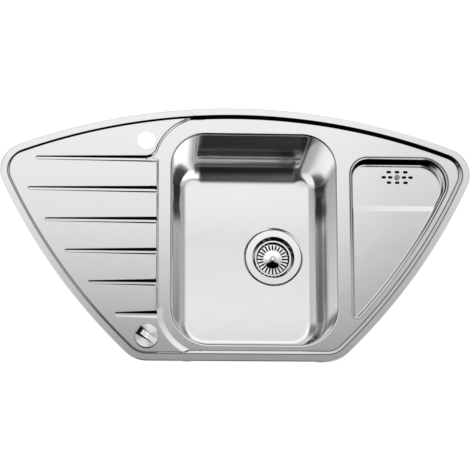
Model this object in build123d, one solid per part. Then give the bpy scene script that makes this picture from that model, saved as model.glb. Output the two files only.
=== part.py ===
from build123d import *

import math
import os

# A corner kitchen sink of pressed stainless steel, to be let into a worktop.
# Millimetres. The origin is the middle of the deck's outline, on the worktop's surface.
# +X is to the user's right, +Y is towards the corner of the room and +Z is up.

# ---------------------------------------------------------------- driving dimensions

# The outline: a curved back, two bowed sides and a short straight front.
OVERALL_WIDTH = 930.0
OVERALL_DEPTH = 510.0
BACK_ARC_RADIUS = 1215.0
SIDE_ARC_RADIUS = 1150.0
BACK_CORNER_RADIUS = 57.0
FRONT_CORNER_RADIUS = 60.0
FRONT_SHARP_WIDTH = 398.0  # the front edge, up to where the side arcs would meet it

# The pressed sheet and its levels.
SHEET = 0.9
RIM_TOP = 3.0  # above the worktop
RIM_FLAT = 14.5
LIP_GAP = 0.3  # between the worktop and the rim's turned-down edge
LEDGE_DROP = 3.0  # from the rim to the raised ledges
DECK_DROP = 3.5  # from the ledges to the deck around the bowl
STEP_RUN = 1.3  # how far a pressed step runs sideways for each millimetre that it drops

# The bowl.
BOWL_WIDTH = 333.2
BOWL_X = 34.8
BOWL_BACK_LAND = 48.9  # between the bowl and the back edge at its highest
BOWL_FRONT_LAND = 30.5  # between the bowl and the front edge
BOWL_DEPTH = 165.0
BOWL_BACK_RADIUS = 71.0
BOWL_FRONT_RADIUS = 80.0
BOWL_EDGE_RADIUS = 5.0
BOWL_DRAFT = 3.0  # degrees
BOWL_FLOOR_RADIUS = 28.0

# The ledges' edges beside the bowl.
TAP_LEDGE_LAND = 33.0  # between the bowl's back corner and the tap ledge
KNOB_LEDGE_LAND = 24.0  # between the bowl's front corner and the knob ledge
STRIP_WIDTH = 25.2  # between the bowl and the drainer
LEDGE_CORNER_RADIUS = 20.0

# The drainer.
GROOVE_COUNT = 6
DRAINER_BACK_LAND = 98.75  # between the first groove and the back edge at its highest
DRAINER_FRONT_LAND = 98.75  # between the last groove's back and the front edge
GROOVE_WIDTH = 13.5
GROOVE_FLAT = 4.5
GROOVE_BACK_RUN = 5.0
GROOVE_SHALLOW_END = 0.8
GROOVE_MARGIN = 36.0  # from the outline to the grooves' closed ends

# The side tray.
TRAY_LAND = 25.6  # between the bowl and the tray
TRAY_BACK_LAND = 97.2  # between the tray and the back edge at its highest
TRAY_MARGIN = 33.5  # from the outline to the tray's bowed side
TRAY_BACK_LEFT_RADIUS = 35.0
TRAY_BACK_RIGHT_RADIUS = 50.0
TRAY_TIP_RADIUS = 9.0
TRAY_EDGE_RADIUS = 3.0
TRAY_DRAFT = 5.0
TRAY_SHALLOW_DEPTH = 13.0
TRAY_DEEP_DEPTH = 28.0
TRAY_DEEP_LENGTH = 103.8  # from the tray's back to the front of its step
TRAY_STEP_RUN = 11.0
TRAY_FLOOR_RADIUS = 3.5

# The overflow slots.
SLOT_LENGTH = 9.5
SLOT_WIDTH = 5.5
SLOT_ROW_PITCH = 10.9
OVERFLOW_FROM_LEFT = 98.0  # from the tray's left side
OVERFLOW_FROM_BACK = 31.8  # from the tray's back
OUTER_ROW_PITCH = 16.7
INNER_ROW_NEAR = 13.9
INNER_ROW_FAR = 27.0

# The holes in the ledges.
TAP_HOLE = 35.0
TAP_FROM_BOWL = 45.9
TAP_FROM_BACK = 67.5
KNOB_HOLE = 35.0
KNOB_FROM_EDGE = 74.0  # from the deck's slanting left edge
KNOB_FROM_FRONT = 49.3

# The waste: a flanged cup, a basket, and a plastic body under the bowl.
WASTE_SHIFT = 52.6  # to the right of the bowl's middle
RECESS_DIAMETER = 116.0
RECESS_DEPTH = 2.5
RECESS_RUN = 3.0
FLOOR_HOLE_DIAMETER = 90.0
FLANGE_DIAMETER = 114.0
FLANGE = 1.2
CUP_DIAMETER = 88.0
CUP_WALL = 1.0
CUP_DEPTH = 33.0
CUP_EDGE_RADIUS = 1.0
CUP_GASKET = 1.0
BOWL_GASKET = 2.5
WINDOW_COUNT = 6
WINDOW_DIAMETER = 13.0
WINDOW_CIRCLE = 35.0
HUB_DIAMETER = 12.0
HUB_HEIGHT = 4.0
CUP_SCREW_COUNT = 3
CUP_SCREW_CIRCLE = 72.0
CUP_SCREW = 4.0
CUP_SCREW_HEAD = 7.5
CUP_SCREW_HEAD_HEIGHT = 2.6
CUP_SCREW_HEAD_ROUND = 1.2
CUP_SCREW_LENGTH = 18.0
CROSS_LENGTH = 4.2  # of the cross recess in a screw's head
CROSS_WIDTH = 1.2
CROSS_DEPTH = 1.3

BASKET_DIAMETER = 75.0
BASKET_FLOOR_DIAMETER = 68.0
BASKET_HEIGHT = 10.5
BASKET_DROP = 10.5  # from the flange's top to the basket's rim
BASKET_SHEET = 0.8
BASKET_LIP = 2.2
BASKET_SLOT_COUNT = 24
BASKET_SLOT_WIDTH = 3.2
BASKET_SLOT_INNER = 21.0
BASKET_DISH_DEPTH = 1.6
BASKET_FLOOR_ROUND = 1.6
BASKET_KNOB_DIAMETER = 11.0
BASKET_KNOB_HEIGHT = 8.0
BASKET_KNOB_NECK = 6.0
BASKET_KNOB_NECK_HEIGHT = 3.6
BASKET_KNOB_BEVEL = 1.2
BASKET_STEM_DIAMETER = 14.0
BASKET_SEAL_DIAMETER = 61.0
BASKET_SEAL_TOP = 36.0
BASKET_SEAL_WALL = 2.0

BODY_FLANGE = 112.0
BODY_FLANGE_HEIGHT = 5.0
BODY_BORE = 91.0
BODY_WALL = 3.0
BODY_DEPTH = 62.0
BOSS_DIAMETER = 9.0
OUTLET_THREAD = 47.8  # 1 1/2 inch
OUTLET_BORE = 38.0
OUTLET_LENGTH = 24.0

PIN_DIAMETER = 6.0
PIN_FOOT_DIAMETER = 16.0
PIN_FOOT_HEIGHT = 2.0
PIN_BEVEL = 0.6
PIN_LIFT = 9.0
PIN_HEADROOM = 1.2  # between the pin's foot and the cup's hub, with the pin up
CRANK_ARM = 12.0
CRANK_SHAFT = 6.0
CRANK_SEAL = 12.0
CRANK_FINGER = 5.0
CRANK_WEB = 6.0
LEVER_ARM = 18.0
LEVER_THICKNESS = 4.0
LEVER_HUB = 13.0
LEVER_END = 8.4
WIRE_HOLE = 3.0
HOUSING_WALL = 2.0
CRANK_BOX_LENGTH = 24.0
CRANK_BOX_FRONT = 24.0
CRANK_BOX_BACK = 11.0
CRANK_BOX_BELOW = 26.0
CRANK_BOX_ABOVE = 12.0

# The control knob and its housing.
KNOB_DIAMETER = 47.5
KNOB_SKIRT = 1.3
KNOB_HEIGHT = 5.0
KNOB_LIFT = 0.5  # from the ledge to the knob's skirt
KNOB_ROUND = 1.5
KNOB_ANGLE = -35.0
GRIP_WIDTH = 10.5
GRIP_HEIGHT = 8.5
GRIP_END = 11.5  # from the knob's middle to the grip's high end
GRIP_FLARE = 5.5
GRIP_MARGIN = 1.5  # from the knob's edge to the grip's ends
GRIP_ROOT = 1.6  # how far the grip reaches down into the cap
KNOB_STEM = 10.0
BEZEL_DIAMETER = 43.6
BEZEL_FLANGE = 1.5
BEZEL_THREAD = 33.0
BEZEL_LENGTH = 16.0
KNOB_GASKET = 0.6
KNOB_NUT_DIAMETER = 44.0
KNOB_NUT_HEIGHT = 7.0
KNOB_NUT_NOTCHES = 8
KNOB_NUT_NOTCH = 5.0
ACTUATOR_DIAMETER = 52.0
ACTUATOR_WALL = 2.5
ACTUATOR_DEPTH = 42.0
DRUM_DIAMETER = 36.0
DRUM_HEIGHT = 12.0
DRUM_DROP = 20.0
DRUM_GROOVE_DIAMETER = 30.0
DRUM_FLANGE = 3.0
DRUM_SCREW = 4.0
DRUM_SCREW_HEAD = 16.0
DRUM_SCREW_HEAD_HEIGHT = 2.0
DRUM_SCREW_LENGTH = 9.6
COVER_HEIGHT = 3.0

# The control cable, a sheathed wire between the two housings.
CABLE_DIAMETER = 6.0
CABLE_RADII = (55.0, 95.0, 55.0)
FERRULE_DIAMETER = 8.0
FERRULE_LENGTH = 16.0
FERRULE_HOLD = 8.0  # how much of the sleeve lies inside its gland
FERRULE_COLLAR = 10.4
FERRULE_COLLAR_LENGTH = 2.0
WIRE_DIAMETER = 2.0
GLAND_DIAMETER = 13.0
GLAND_LENGTH = 9.0

# The overflow.
OVERFLOW_SCREW = 5.0
OVERFLOW_SCREW_HEAD = 10.5
OVERFLOW_SCREW_HEAD_HEIGHT = 2.2
OVERFLOW_SCREW_HEAD_ROUND = 1.3
OVERFLOW_CROSS_LENGTH = 5.2
OVERFLOW_SCREW_LENGTH = 22.0
OVERFLOW_GASKET = 2.0
OVERFLOW_BOX_LENGTH = 78.0
OVERFLOW_BOX_WIDTH = 42.0
OVERFLOW_BOX_DEPTH = 26.0
OVERFLOW_WALL = 2.5
OVERFLOW_POST = 9.0
OVERFLOW_WEB_DROP = 10.0  # from the funnel's mouth down to the web inside it
PIPE_DIAMETER = 22.0
PIPE_WALL = 1.8
PIPE_BEND = 50.0
SOCKET_WALL = 2.4
SOCKET_LENGTH = 16.0
SOCKET_DROP = 11.0  # from the cup's underside to the socket's axis
UNION_WALL = 3.0
UNION_LENGTH = 14.0
UNION_WASHER = 3.0
UNION_RIBS = 12
UNION_RIB = 2.0
PIPE_END_GAP = 2.0  # between the pipe's end and the bottom of its socket

# The rim seal and the fixing clips.
SEAL_MARGIN = 2.5
SEAL_WIDTH = 8.5
WORKTOP = 38.0
CLIP_INSET = 24.5
CLIP_LENGTH = 7.5
CLIP_WIDTH = 18.0
CLIP_SHEET = 1.5
CLIP_TAB = 24.0
CLAW_WIDTH = 15.0
CLAW_SHEET = 2.0
CLAW_REACH = 19.0
CLAW_TIP = 4.0
CLIP_BOLT = 6.0
CLIP_BOLT_LENGTH = 12.0
CLIP_HEX = 10.0
CLIP_HEX_HEIGHT = 4.0
CLIP_BOLT_DROP = 17.0
CLIP_SLOT = 14.0
BACK_CLIP_SPACING = 300.0
CORNER_CLIP_ANGLE = 20.0  # from the sideways direction, about the back corners' centres
CLIP_PLATEAUS = (1, 3)  # the drainer's plateaus that carry a clip, counted from the back
FRONT_CLIP_SHIFT = 45.0  # from the bowl's corners

# The sound-deadening pads.
PAD = 3.0
PAD_LENGTH = 200.0
PAD_HEIGHT = 75.0
FLOOR_PAD_WIDTH = 95.0
FLOOR_PAD_LENGTH = 240.0

# Clearances.
SEATED = 0.3  # between pieces on different bodies that rest on each other
RUNNING = 0.05  # all round a shaft that turns or slides in its hole
FREE = 0.3  # all round a thread or pipe in its socket

# ---------------------------------------------------------------- places

HALF_WIDTH = OVERALL_WIDTH / 2
HALF_DEPTH = OVERALL_DEPTH / 2
BOWL_LENGTH = OVERALL_DEPTH - BOWL_BACK_LAND - BOWL_FRONT_LAND
BOWL_Y = -HALF_DEPTH + BOWL_FRONT_LAND + BOWL_LENGTH / 2
BOWL_LEFT = BOWL_X - BOWL_WIDTH / 2
BOWL_RIGHT = BOWL_X + BOWL_WIDTH / 2
BOWL_BACK = BOWL_Y + BOWL_LENGTH / 2
BOWL_FRONT = BOWL_Y - BOWL_LENGTH / 2
DRAINER_RIGHT = BOWL_LEFT - STRIP_WIDTH
FIRST_GROOVE_Y = HALF_DEPTH - DRAINER_BACK_LAND
GROOVE_PITCH = (OVERALL_DEPTH - DRAINER_BACK_LAND - DRAINER_FRONT_LAND) / (GROOVE_COUNT - 1)
TRAY_LEFT = BOWL_RIGHT + TRAY_LAND
TRAY_BACK = HALF_DEPTH - TRAY_BACK_LAND
TRAY_STEP_Y = TRAY_BACK - TRAY_DEEP_LENGTH
OVERFLOW_X = TRAY_LEFT + OVERFLOW_FROM_LEFT
OVERFLOW_Y = TRAY_BACK - OVERFLOW_FROM_BACK
TAP_X = BOWL_LEFT - TAP_FROM_BOWL
TAP_Y = HALF_DEPTH - TAP_FROM_BACK
KNOB_Y = -HALF_DEPTH + KNOB_FROM_FRONT
WASTE_X = BOWL_X + WASTE_SHIFT
WASTE_Y = BOWL_Y

# ---------------------------------------------------------------- levels

LEDGE_TOP = RIM_TOP - LEDGE_DROP
DECK_TOP = LEDGE_TOP - DECK_DROP
FLOOR_TOP = DECK_TOP - BOWL_DEPTH
RECESS_TOP = FLOOR_TOP - RECESS_DEPTH
CUP_SEAT = RECESS_TOP + CUP_GASKET
FLANGE_TOP = CUP_SEAT + FLANGE
CUP_BOTTOM = CUP_SEAT - CUP_DEPTH
CUP_FLOOR = CUP_BOTTOM + FLANGE
BODY_TOP = RECESS_TOP - SHEET - BOWL_GASKET
BODY_FLOOR = BODY_TOP - BODY_DEPTH
CRANK_Z = (
    CUP_BOTTOM - HUB_HEIGHT - PIN_HEADROOM - PIN_LIFT - PIN_FOOT_HEIGHT - SEATED - CRANK_FINGER / 2
)
BASKET_RIM = FLANGE_TOP - BASKET_DROP
BASKET_FLOOR = BASKET_RIM - BASKET_HEIGHT
PIN_TOP = CUP_FLOOR + SEATED + HUB_HEIGHT
TRAY_DEEP_FLOOR = DECK_TOP - TRAY_DEEP_DEPTH
SOCKET_Z = CUP_BOTTOM - SOCKET_DROP
BIG = 2.0 * OVERALL_WIDTH
OVERSHOOT = 10.0


# ---------------------------------------------------------------- helpers


def polar(centre, radius, degrees):
    """The point at an angle on a circle."""
    angle = math.radians(degrees)
    return (centre[0] + radius * math.cos(angle), centre[1] + radius * math.sin(angle))


def heading(start, end):
    """The direction from one point to another, in degrees."""
    return math.degrees(math.atan2(end[1] - start[1], end[0] - start[0]))


def mirrored(point):
    """The point on the other side of the sink's centre line."""
    return (-point[0], point[1])


def arc(centre, radius, start, end):
    """An edge along a circle, from one angle to another."""
    angles = (start, (start + end) / 2, end)
    return ThreePointArc(*[polar(centre, radius, angle) for angle in angles])


def closed_wire(edges):
    return Wire(edges)


def at_height(wire, height):
    return wire.moved(Location((0, 0, height)))


def prism(wire, bottom, top):
    """A straight solid over a flat outline, between two heights."""
    return extrude(Face(at_height(wire, bottom)), amount=top - bottom, dir=(0, 0, 1))


def frustum(lower, low, upper, high):
    """A solid with straight sloping sides between two outlines of the same make-up."""
    return loft([Face(at_height(lower, low)), Face(at_height(upper, high))], ruled=True)


def cylinder(x, y, diameter, bottom, top):
    """An upright cylinder between two heights."""
    return Pos(x, y, (bottom + top) / 2) * Cylinder(diameter / 2, abs(top - bottom))


def ring(x, y, outer, inner, bottom, top):
    """An upright tube between two heights."""
    return cylinder(x, y, outer, bottom, top) - cylinder(x, y, inner, bottom - 1, top + 1)


def block(low, high):
    """A box between two corners."""
    size = [high[i] - low[i] for i in range(3)]
    middle = [(high[i] + low[i]) / 2 for i in range(3)]
    return Pos(*middle) * Box(*size)


def box_edges(solid, height, tolerance=0.01):
    """The edges of a solid that lie flat at a height."""
    found = []
    for edge in solid.edges():
        box = edge.bounding_box()
        if abs(box.min.Z - height) < tolerance and abs(box.max.Z - height) < tolerance:
            found.append(edge)
    return found


# ---------------------------------------------------------------- the outline

BACK_CENTRE = (0.0, HALF_DEPTH - BACK_ARC_RADIUS)


def tangent_circle_y(x, centre, radius):
    """The higher Y at which an upright line at x crosses a circle."""
    return centre[1] + math.sqrt(radius**2 - (x - centre[0]) ** 2)


def circle_crossing(a, radius_a, b, radius_b):
    """Where two circles cross, to the left of the way from a to b."""
    dx, dy = b[0] - a[0], b[1] - a[1]
    gap = math.hypot(dx, dy)
    along = (radius_a**2 - radius_b**2 + gap**2) / (2 * gap)
    across = math.sqrt(radius_a**2 - along**2)
    return (a[0] + (along * dx - across * dy) / gap, a[1] + (along * dy + across * dx) / gap)


BACK_CORNER_X = HALF_WIDTH - BACK_CORNER_RADIUS
BACK_CORNER = (
    BACK_CORNER_X,
    tangent_circle_y(BACK_CORNER_X, BACK_CENTRE, BACK_ARC_RADIUS - BACK_CORNER_RADIUS),
)
FRONT_SHARP = (FRONT_SHARP_WIDTH / 2, -HALF_DEPTH)
# The right side's arc is centred far out to the left, so that it touches the back corner's
# circle and runs through the front edge's sharp end.
SIDE_CENTRE = circle_crossing(
    FRONT_SHARP, SIDE_ARC_RADIUS, BACK_CORNER, SIDE_ARC_RADIUS - BACK_CORNER_RADIUS
)
FRONT_CORNER_Y = -HALF_DEPTH + FRONT_CORNER_RADIUS
FRONT_CORNER = (
    SIDE_CENTRE[0]
    + math.sqrt(
        (SIDE_ARC_RADIUS - FRONT_CORNER_RADIUS) ** 2 - (FRONT_CORNER_Y - SIDE_CENTRE[1]) ** 2
    ),
    FRONT_CORNER_Y,
)


def sink_outline(inset=0.0):
    """The sink's outline, moved inwards by the inset all the way round."""
    back_radius = BACK_ARC_RADIUS - inset
    side_radius = SIDE_ARC_RADIUS - inset
    back_corner_radius = BACK_CORNER_RADIUS - inset
    front_corner_radius = FRONT_CORNER_RADIUS - inset
    back_angle = heading(BACK_CENTRE, BACK_CORNER)
    side_high = heading(SIDE_CENTRE, BACK_CORNER)
    side_low = heading(SIDE_CENTRE, FRONT_CORNER)
    left = {
        "side": mirrored(SIDE_CENTRE),
        "back": mirrored(BACK_CORNER),
        "front": mirrored(FRONT_CORNER),
    }
    front_y = -HALF_DEPTH + inset
    return closed_wire(
        [
            arc(SIDE_CENTRE, side_radius, side_low, side_high),
            arc(BACK_CORNER, back_corner_radius, side_high, back_angle),
            arc(BACK_CENTRE, back_radius, back_angle, 180 - back_angle),
            arc(left["back"], back_corner_radius, 180 - back_angle, 180 - side_high),
            arc(left["side"], side_radius, 180 - side_high, 180 - side_low),
            arc(left["front"], front_corner_radius, 180 - side_low, 270),
            Line((-FRONT_CORNER[0], front_y), (FRONT_CORNER[0], front_y)),
            arc(FRONT_CORNER, front_corner_radius, -90, side_low),
        ]
    )


def left_edge_x(y, inset):
    """How far left the outline reaches at a Y, once it is moved inwards."""
    side_radius = SIDE_ARC_RADIUS - inset
    side = -SIDE_CENTRE[0] - math.sqrt(side_radius**2 - (y - SIDE_CENTRE[1]) ** 2)
    back_radius = BACK_ARC_RADIUS - inset
    back = -math.sqrt(back_radius**2 - (y - BACK_CENTRE[1]) ** 2)
    return max(side, back)


KNOB_X = left_edge_x(KNOB_Y, 0) + KNOB_FROM_EDGE

# ---------------------------------------------------------------- the bowl's outline

BOWL_BACK_LEFT = (BOWL_LEFT + BOWL_BACK_RADIUS, BOWL_BACK - BOWL_BACK_RADIUS)
BOWL_BACK_RIGHT = (BOWL_RIGHT - BOWL_BACK_RADIUS, BOWL_BACK - BOWL_BACK_RADIUS)
BOWL_FRONT_LEFT = (BOWL_LEFT + BOWL_FRONT_RADIUS, BOWL_FRONT + BOWL_FRONT_RADIUS)
BOWL_FRONT_RIGHT = (BOWL_RIGHT - BOWL_FRONT_RADIUS, BOWL_FRONT + BOWL_FRONT_RADIUS)


def bowl_outline(inset=0.0):
    """The bowl's rim, a rounded rectangle, moved inwards by the inset."""
    back = BOWL_BACK_RADIUS - inset
    front = BOWL_FRONT_RADIUS - inset
    return closed_wire(
        [
            Line(polar(BOWL_FRONT_RIGHT, front, 0), polar(BOWL_BACK_RIGHT, back, 0)),
            arc(BOWL_BACK_RIGHT, back, 0, 90),
            Line(polar(BOWL_BACK_RIGHT, back, 90), polar(BOWL_BACK_LEFT, back, 90)),
            arc(BOWL_BACK_LEFT, back, 90, 180),
            Line(polar(BOWL_BACK_LEFT, back, 180), polar(BOWL_FRONT_LEFT, front, 180)),
            arc(BOWL_FRONT_LEFT, front, 180, 270),
            Line(polar(BOWL_FRONT_LEFT, front, 270), polar(BOWL_FRONT_RIGHT, front, 270)),
            arc(BOWL_FRONT_RIGHT, front, 270, 360),
        ]
    )


# ---------------------------------------------------------------- the tray's outline


def tray_outline(inset=0.0):
    """The tray's rim, a bowed triangle with rounded corners, moved inwards by the inset."""
    side_radius = SIDE_ARC_RADIUS - TRAY_MARGIN
    back_left = (TRAY_LEFT + TRAY_BACK_LEFT_RADIUS, TRAY_BACK - TRAY_BACK_LEFT_RADIUS)
    right_y = TRAY_BACK - TRAY_BACK_RIGHT_RADIUS
    right_reach = side_radius - TRAY_BACK_RIGHT_RADIUS
    right_x = SIDE_CENTRE[0] + math.sqrt(right_reach**2 - (right_y - SIDE_CENTRE[1]) ** 2)
    back_right = (right_x, right_y)
    tip_x = TRAY_LEFT + TRAY_TIP_RADIUS
    tip_reach = side_radius - TRAY_TIP_RADIUS
    tip = (tip_x, SIDE_CENTRE[1] - math.sqrt(tip_reach**2 - (tip_x - SIDE_CENTRE[0]) ** 2))
    side_low = heading(SIDE_CENTRE, tip)
    side_high = heading(SIDE_CENTRE, back_right)
    left_radius = TRAY_BACK_LEFT_RADIUS - inset
    right_radius = TRAY_BACK_RIGHT_RADIUS - inset
    tip_radius = TRAY_TIP_RADIUS - inset
    return closed_wire(
        [
            arc(SIDE_CENTRE, side_radius - inset, side_low, side_high),
            arc(back_right, right_radius, side_high, 90),
            Line(polar(back_right, right_radius, 90), polar(back_left, left_radius, 90)),
            arc(back_left, left_radius, 90, 180),
            Line(polar(back_left, left_radius, 180), polar(tip, tip_radius, 180)),
            arc(tip, tip_radius, 180, side_low + 360),
        ]
    )


# ---------------------------------------------------------------- the deck

STEP_INSET = RIM_FLAT + (RIM_TOP - DECK_TOP) * STEP_RUN
LEDGE_STEP = DECK_DROP * STEP_RUN


def groove_back(index):
    """The Y of the back edge of a drainer groove, counted from the tap ledge."""
    return FIRST_GROOVE_Y - index * GROOVE_PITCH


def deck_region(inset):
    """The part of the deck that lies below the ledges: round the bowl and the tray."""
    tap_radius = BOWL_BACK_RADIUS + TAP_LEDGE_LAND - inset
    knob_radius = BOWL_FRONT_RADIUS + KNOB_LEDGE_LAND - inset
    corner = LEDGE_CORNER_RADIUS + inset
    edge_y = groove_back(0) - inset
    last_y = groove_back(GROOVE_COUNT - 1) - inset
    drainer_x = DRAINER_RIGHT + inset
    # The ledge's rounded corner touches the groove's back edge and the arc round the bowl.
    corner_y = edge_y + corner
    reach = tap_radius + corner
    corner_x = BOWL_BACK_LEFT[0] - math.sqrt(reach**2 - (corner_y - BOWL_BACK_LEFT[1]) ** 2)
    corner_at = (corner_x, corner_y)
    meet = heading(corner_at, BOWL_BACK_LEFT)
    inside_y = edge_y - GROOVE_FLAT
    knob_start = 180 - math.degrees(math.asin((last_y - GROOVE_FLAT - BOWL_FRONT_LEFT[1]) / knob_radius))
    knob_at = polar(BOWL_FRONT_LEFT, knob_radius, knob_start)
    tap_top = (BOWL_BACK_LEFT[0], BOWL_BACK_LEFT[1] + tap_radius)
    knob_bottom = polar(BOWL_FRONT_LEFT, knob_radius, 270)
    points_after = [
        knob_bottom,
        (knob_bottom[0], -BIG / 2),
        (BIG / 2, -BIG / 2),
        (BIG / 2, BIG / 2),
        (tap_top[0], BIG / 2),
        tap_top,
    ]
    edges = [
        arc(BOWL_BACK_LEFT, tap_radius, 90, 180 + meet),
        arc(corner_at, corner, meet, -90),
        Line((corner_x, edge_y), (corner_x, inside_y)),
        Line((corner_x, inside_y), (drainer_x, inside_y)),
        Line((drainer_x, inside_y), (drainer_x, knob_at[1])),
        Line((drainer_x, knob_at[1]), knob_at),
        arc(BOWL_FRONT_LEFT, knob_radius, knob_start, 270),
    ]
    for start, end in zip(points_after, points_after[1:]):
        edges.append(Line(start, end))
    return closed_wire(edges)


def groove_outline(index, back_shift, front_shift):
    """A drainer groove in plan, with a rounded closed end on the left."""
    back = groove_back(index) + back_shift
    front = groove_back(index) - GROOVE_WIDTH - front_shift
    radius = (back - front) / 2
    middle = (back + front) / 2
    left = left_edge_x(groove_back(index) - GROOVE_WIDTH / 2, GROOVE_MARGIN) + GROOVE_WIDTH / 2
    right = DRAINER_RIGHT + LEDGE_STEP + OVERSHOOT
    return closed_wire(
        [
            Line((right, back), (left, back)),
            arc((left, middle), radius, 90, 270),
            Line((left, front), (right, front)),
            Line((right, front), (right, back)),
        ]
    )


def groove(index):
    """The space of a drainer groove, whose floor falls from its closed end to the deck."""
    lower = groove_outline(index, -GROOVE_BACK_RUN, -(GROOVE_WIDTH - GROOVE_FLAT - GROOVE_BACK_RUN))
    growth = OVERSHOOT / DECK_DROP
    upper = groove_outline(
        index,
        GROOVE_BACK_RUN * growth,
        (GROOVE_WIDTH - GROOVE_FLAT - GROOVE_BACK_RUN) * growth,
    )
    space = frustum(lower, DECK_TOP, upper, LEDGE_TOP + OVERSHOOT)
    left = left_edge_x(groove_back(index) - GROOVE_WIDTH / 2, GROOVE_MARGIN)
    fall = math.degrees(math.asin((DECK_DROP - GROOVE_SHALLOW_END) / (DRAINER_RIGHT - left)))
    pivot = Location((DRAINER_RIGHT, 0, DECK_TOP))
    return space.moved(pivot * Location((0, 0, 0), (0, fall, 0)) * pivot.inverse())


def deck_form():
    """The deck's upper surface as a solid block."""
    bottom = DECK_TOP - OVERSHOOT
    form = prism(sink_outline(), bottom, RIM_TOP)
    recess_top = RIM_TOP + OVERSHOOT / STEP_RUN
    recess = frustum(
        sink_outline(STEP_INSET), DECK_TOP, sink_outline(RIM_FLAT - OVERSHOOT), recess_top
    )
    above = block((-BIG, -BIG, LEDGE_TOP), (BIG, BIG, BIG))
    region = frustum(deck_region(LEDGE_STEP), DECK_TOP, deck_region(-LEDGE_STEP), LEDGE_TOP + DECK_DROP)
    form -= recess & above
    form -= recess & region
    for index in range(GROOVE_COUNT):
        form -= groove(index)
    return form


def make_deck_sheet():
    form = deck_form()
    sheet = form - form.moved(Location((0, 0, -SHEET)))
    lip = prism(sink_outline(), LIP_GAP, RIM_TOP - SHEET) - prism(sink_outline(SHEET), 0, RIM_TOP)
    sheet += lip
    sheet -= prism(bowl_outline(), DECK_TOP - OVERSHOOT, RIM_TOP)
    sheet -= prism(tray_outline(), DECK_TOP - OVERSHOOT, RIM_TOP)
    sheet -= cylinder(TAP_X, TAP_Y, TAP_HOLE, DECK_TOP - OVERSHOOT, RIM_TOP)
    sheet -= cylinder(KNOB_X, KNOB_Y, KNOB_HOLE, DECK_TOP - OVERSHOOT, RIM_TOP)
    return sheet


# ---------------------------------------------------------------- the bowl


def bowl_form(wall):
    """The bowl's inside as a solid, grown outwards by the wall."""
    edge = BOWL_EDGE_RADIUS - wall
    top = DECK_TOP - wall
    floor = FLOOR_TOP - wall
    drafted = (top - floor) * math.tan(math.radians(BOWL_DRAFT))
    body = frustum(bowl_outline(edge + drafted), floor, bowl_outline(edge), top)
    body = fillet(box_edges(body, floor), BOWL_FLOOR_RADIUS + wall)
    collar = prism(bowl_outline(-OVERSHOOT), top, top + OVERSHOOT)
    form = body + collar
    joint = [e for e in box_edges(form, top) if e.bounding_box().min.X > BOWL_LEFT - 1]
    joint = [e for e in joint if e.bounding_box().max.X < BOWL_RIGHT + 1]
    form = fillet(joint, edge)
    recess = Pos(WASTE_X, WASTE_Y, floor - RECESS_DEPTH / 2) * Cone(
        RECESS_DIAMETER / 2 + wall, RECESS_DIAMETER / 2 + RECESS_RUN + wall, RECESS_DEPTH
    )
    return form + recess


def make_main_bowl():
    shell = bowl_form(SHEET) - bowl_form(0)
    shell &= prism(bowl_outline(), FLOOR_TOP - OVERSHOOT, DECK_TOP)
    shell -= cylinder(WASTE_X, WASTE_Y, FLOOR_HOLE_DIAMETER, FLOOR_TOP - OVERSHOOT, FLOOR_TOP)
    return shell


# ---------------------------------------------------------------- the tray


def tray_well(wall, depth):
    """The tray's inside down to one depth, grown outwards by the wall."""
    top = DECK_TOP - wall
    floor = DECK_TOP - depth - wall
    inset = TRAY_EDGE_RADIUS - wall
    drafted = (top - floor) * math.tan(math.radians(TRAY_DRAFT))
    well = frustum(tray_outline(inset + drafted), floor, tray_outline(inset), top)
    return fillet(box_edges(well, floor), TRAY_FLOOR_RADIUS + wall)


def tray_form(wall):
    """The tray's inside as a solid, with its deep back and shallow front."""
    top = DECK_TOP - wall
    shallow = tray_well(wall, TRAY_SHALLOW_DEPTH)
    deep_floor = DECK_TOP - TRAY_DEEP_DEPTH - wall
    shallow_floor = DECK_TOP - TRAY_SHALLOW_DEPTH - wall
    back = TRAY_BACK + OVERSHOOT
    slope = TRAY_STEP_RUN / (TRAY_DEEP_DEPTH - TRAY_SHALLOW_DEPTH)
    profile = Polyline(
        (back, deep_floor - OVERSHOOT),
        (TRAY_STEP_Y + TRAY_STEP_RUN + slope * OVERSHOOT - wall, deep_floor - OVERSHOOT),
        (TRAY_STEP_Y - wall, shallow_floor),
        (TRAY_STEP_Y - wall, top),
        (back, top),
        close=True,
    )
    behind = extrude(Plane.YZ * make_face(profile), amount=BIG / 2)
    deep = tray_well(wall, TRAY_DEEP_DEPTH) & behind
    collar = prism(tray_outline(-OVERSHOOT), top, top + OVERSHOOT)
    form = shallow + collar
    joint = [e for e in box_edges(form, top) if e.bounding_box().min.X > TRAY_LEFT - 1]
    joint = [e for e in joint if e.bounding_box().max.Y < TRAY_BACK + 1]
    form = fillet(joint, TRAY_EDGE_RADIUS - wall)
    return form + deep


def overflow_places():
    """Where the overflow slots lie, about the middle screw."""
    places = []
    for row in (-1, 1):
        for column in (-1, 0, 1):
            places.append((column * OUTER_ROW_PITCH, row * SLOT_ROW_PITCH))
    for column in (-INNER_ROW_FAR, -INNER_ROW_NEAR, INNER_ROW_NEAR, INNER_ROW_FAR):
        places.append((column, 0.0))
    return places


def make_side_tray():
    shell = tray_form(SHEET) - tray_form(0)
    shell &= prism(tray_outline(), DECK_TOP - TRAY_DEEP_DEPTH - OVERSHOOT, DECK_TOP)
    floor = TRAY_DEEP_FLOOR
    shell -= cylinder(OVERFLOW_X, OVERFLOW_Y, OVERFLOW_SCREW + 2 * FREE, floor - OVERSHOOT, floor + 1)
    for dx, dy in overflow_places():
        slot = extrude(SlotOverall(SLOT_LENGTH, SLOT_WIDTH), amount=OVERSHOOT, both=True)
        shell -= Pos(OVERFLOW_X + dx, OVERFLOW_Y + dy, floor) * slot
    return shell


# ---------------------------------------------------------------- the waste

WASTE = (WASTE_X, WASTE_Y)


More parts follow.
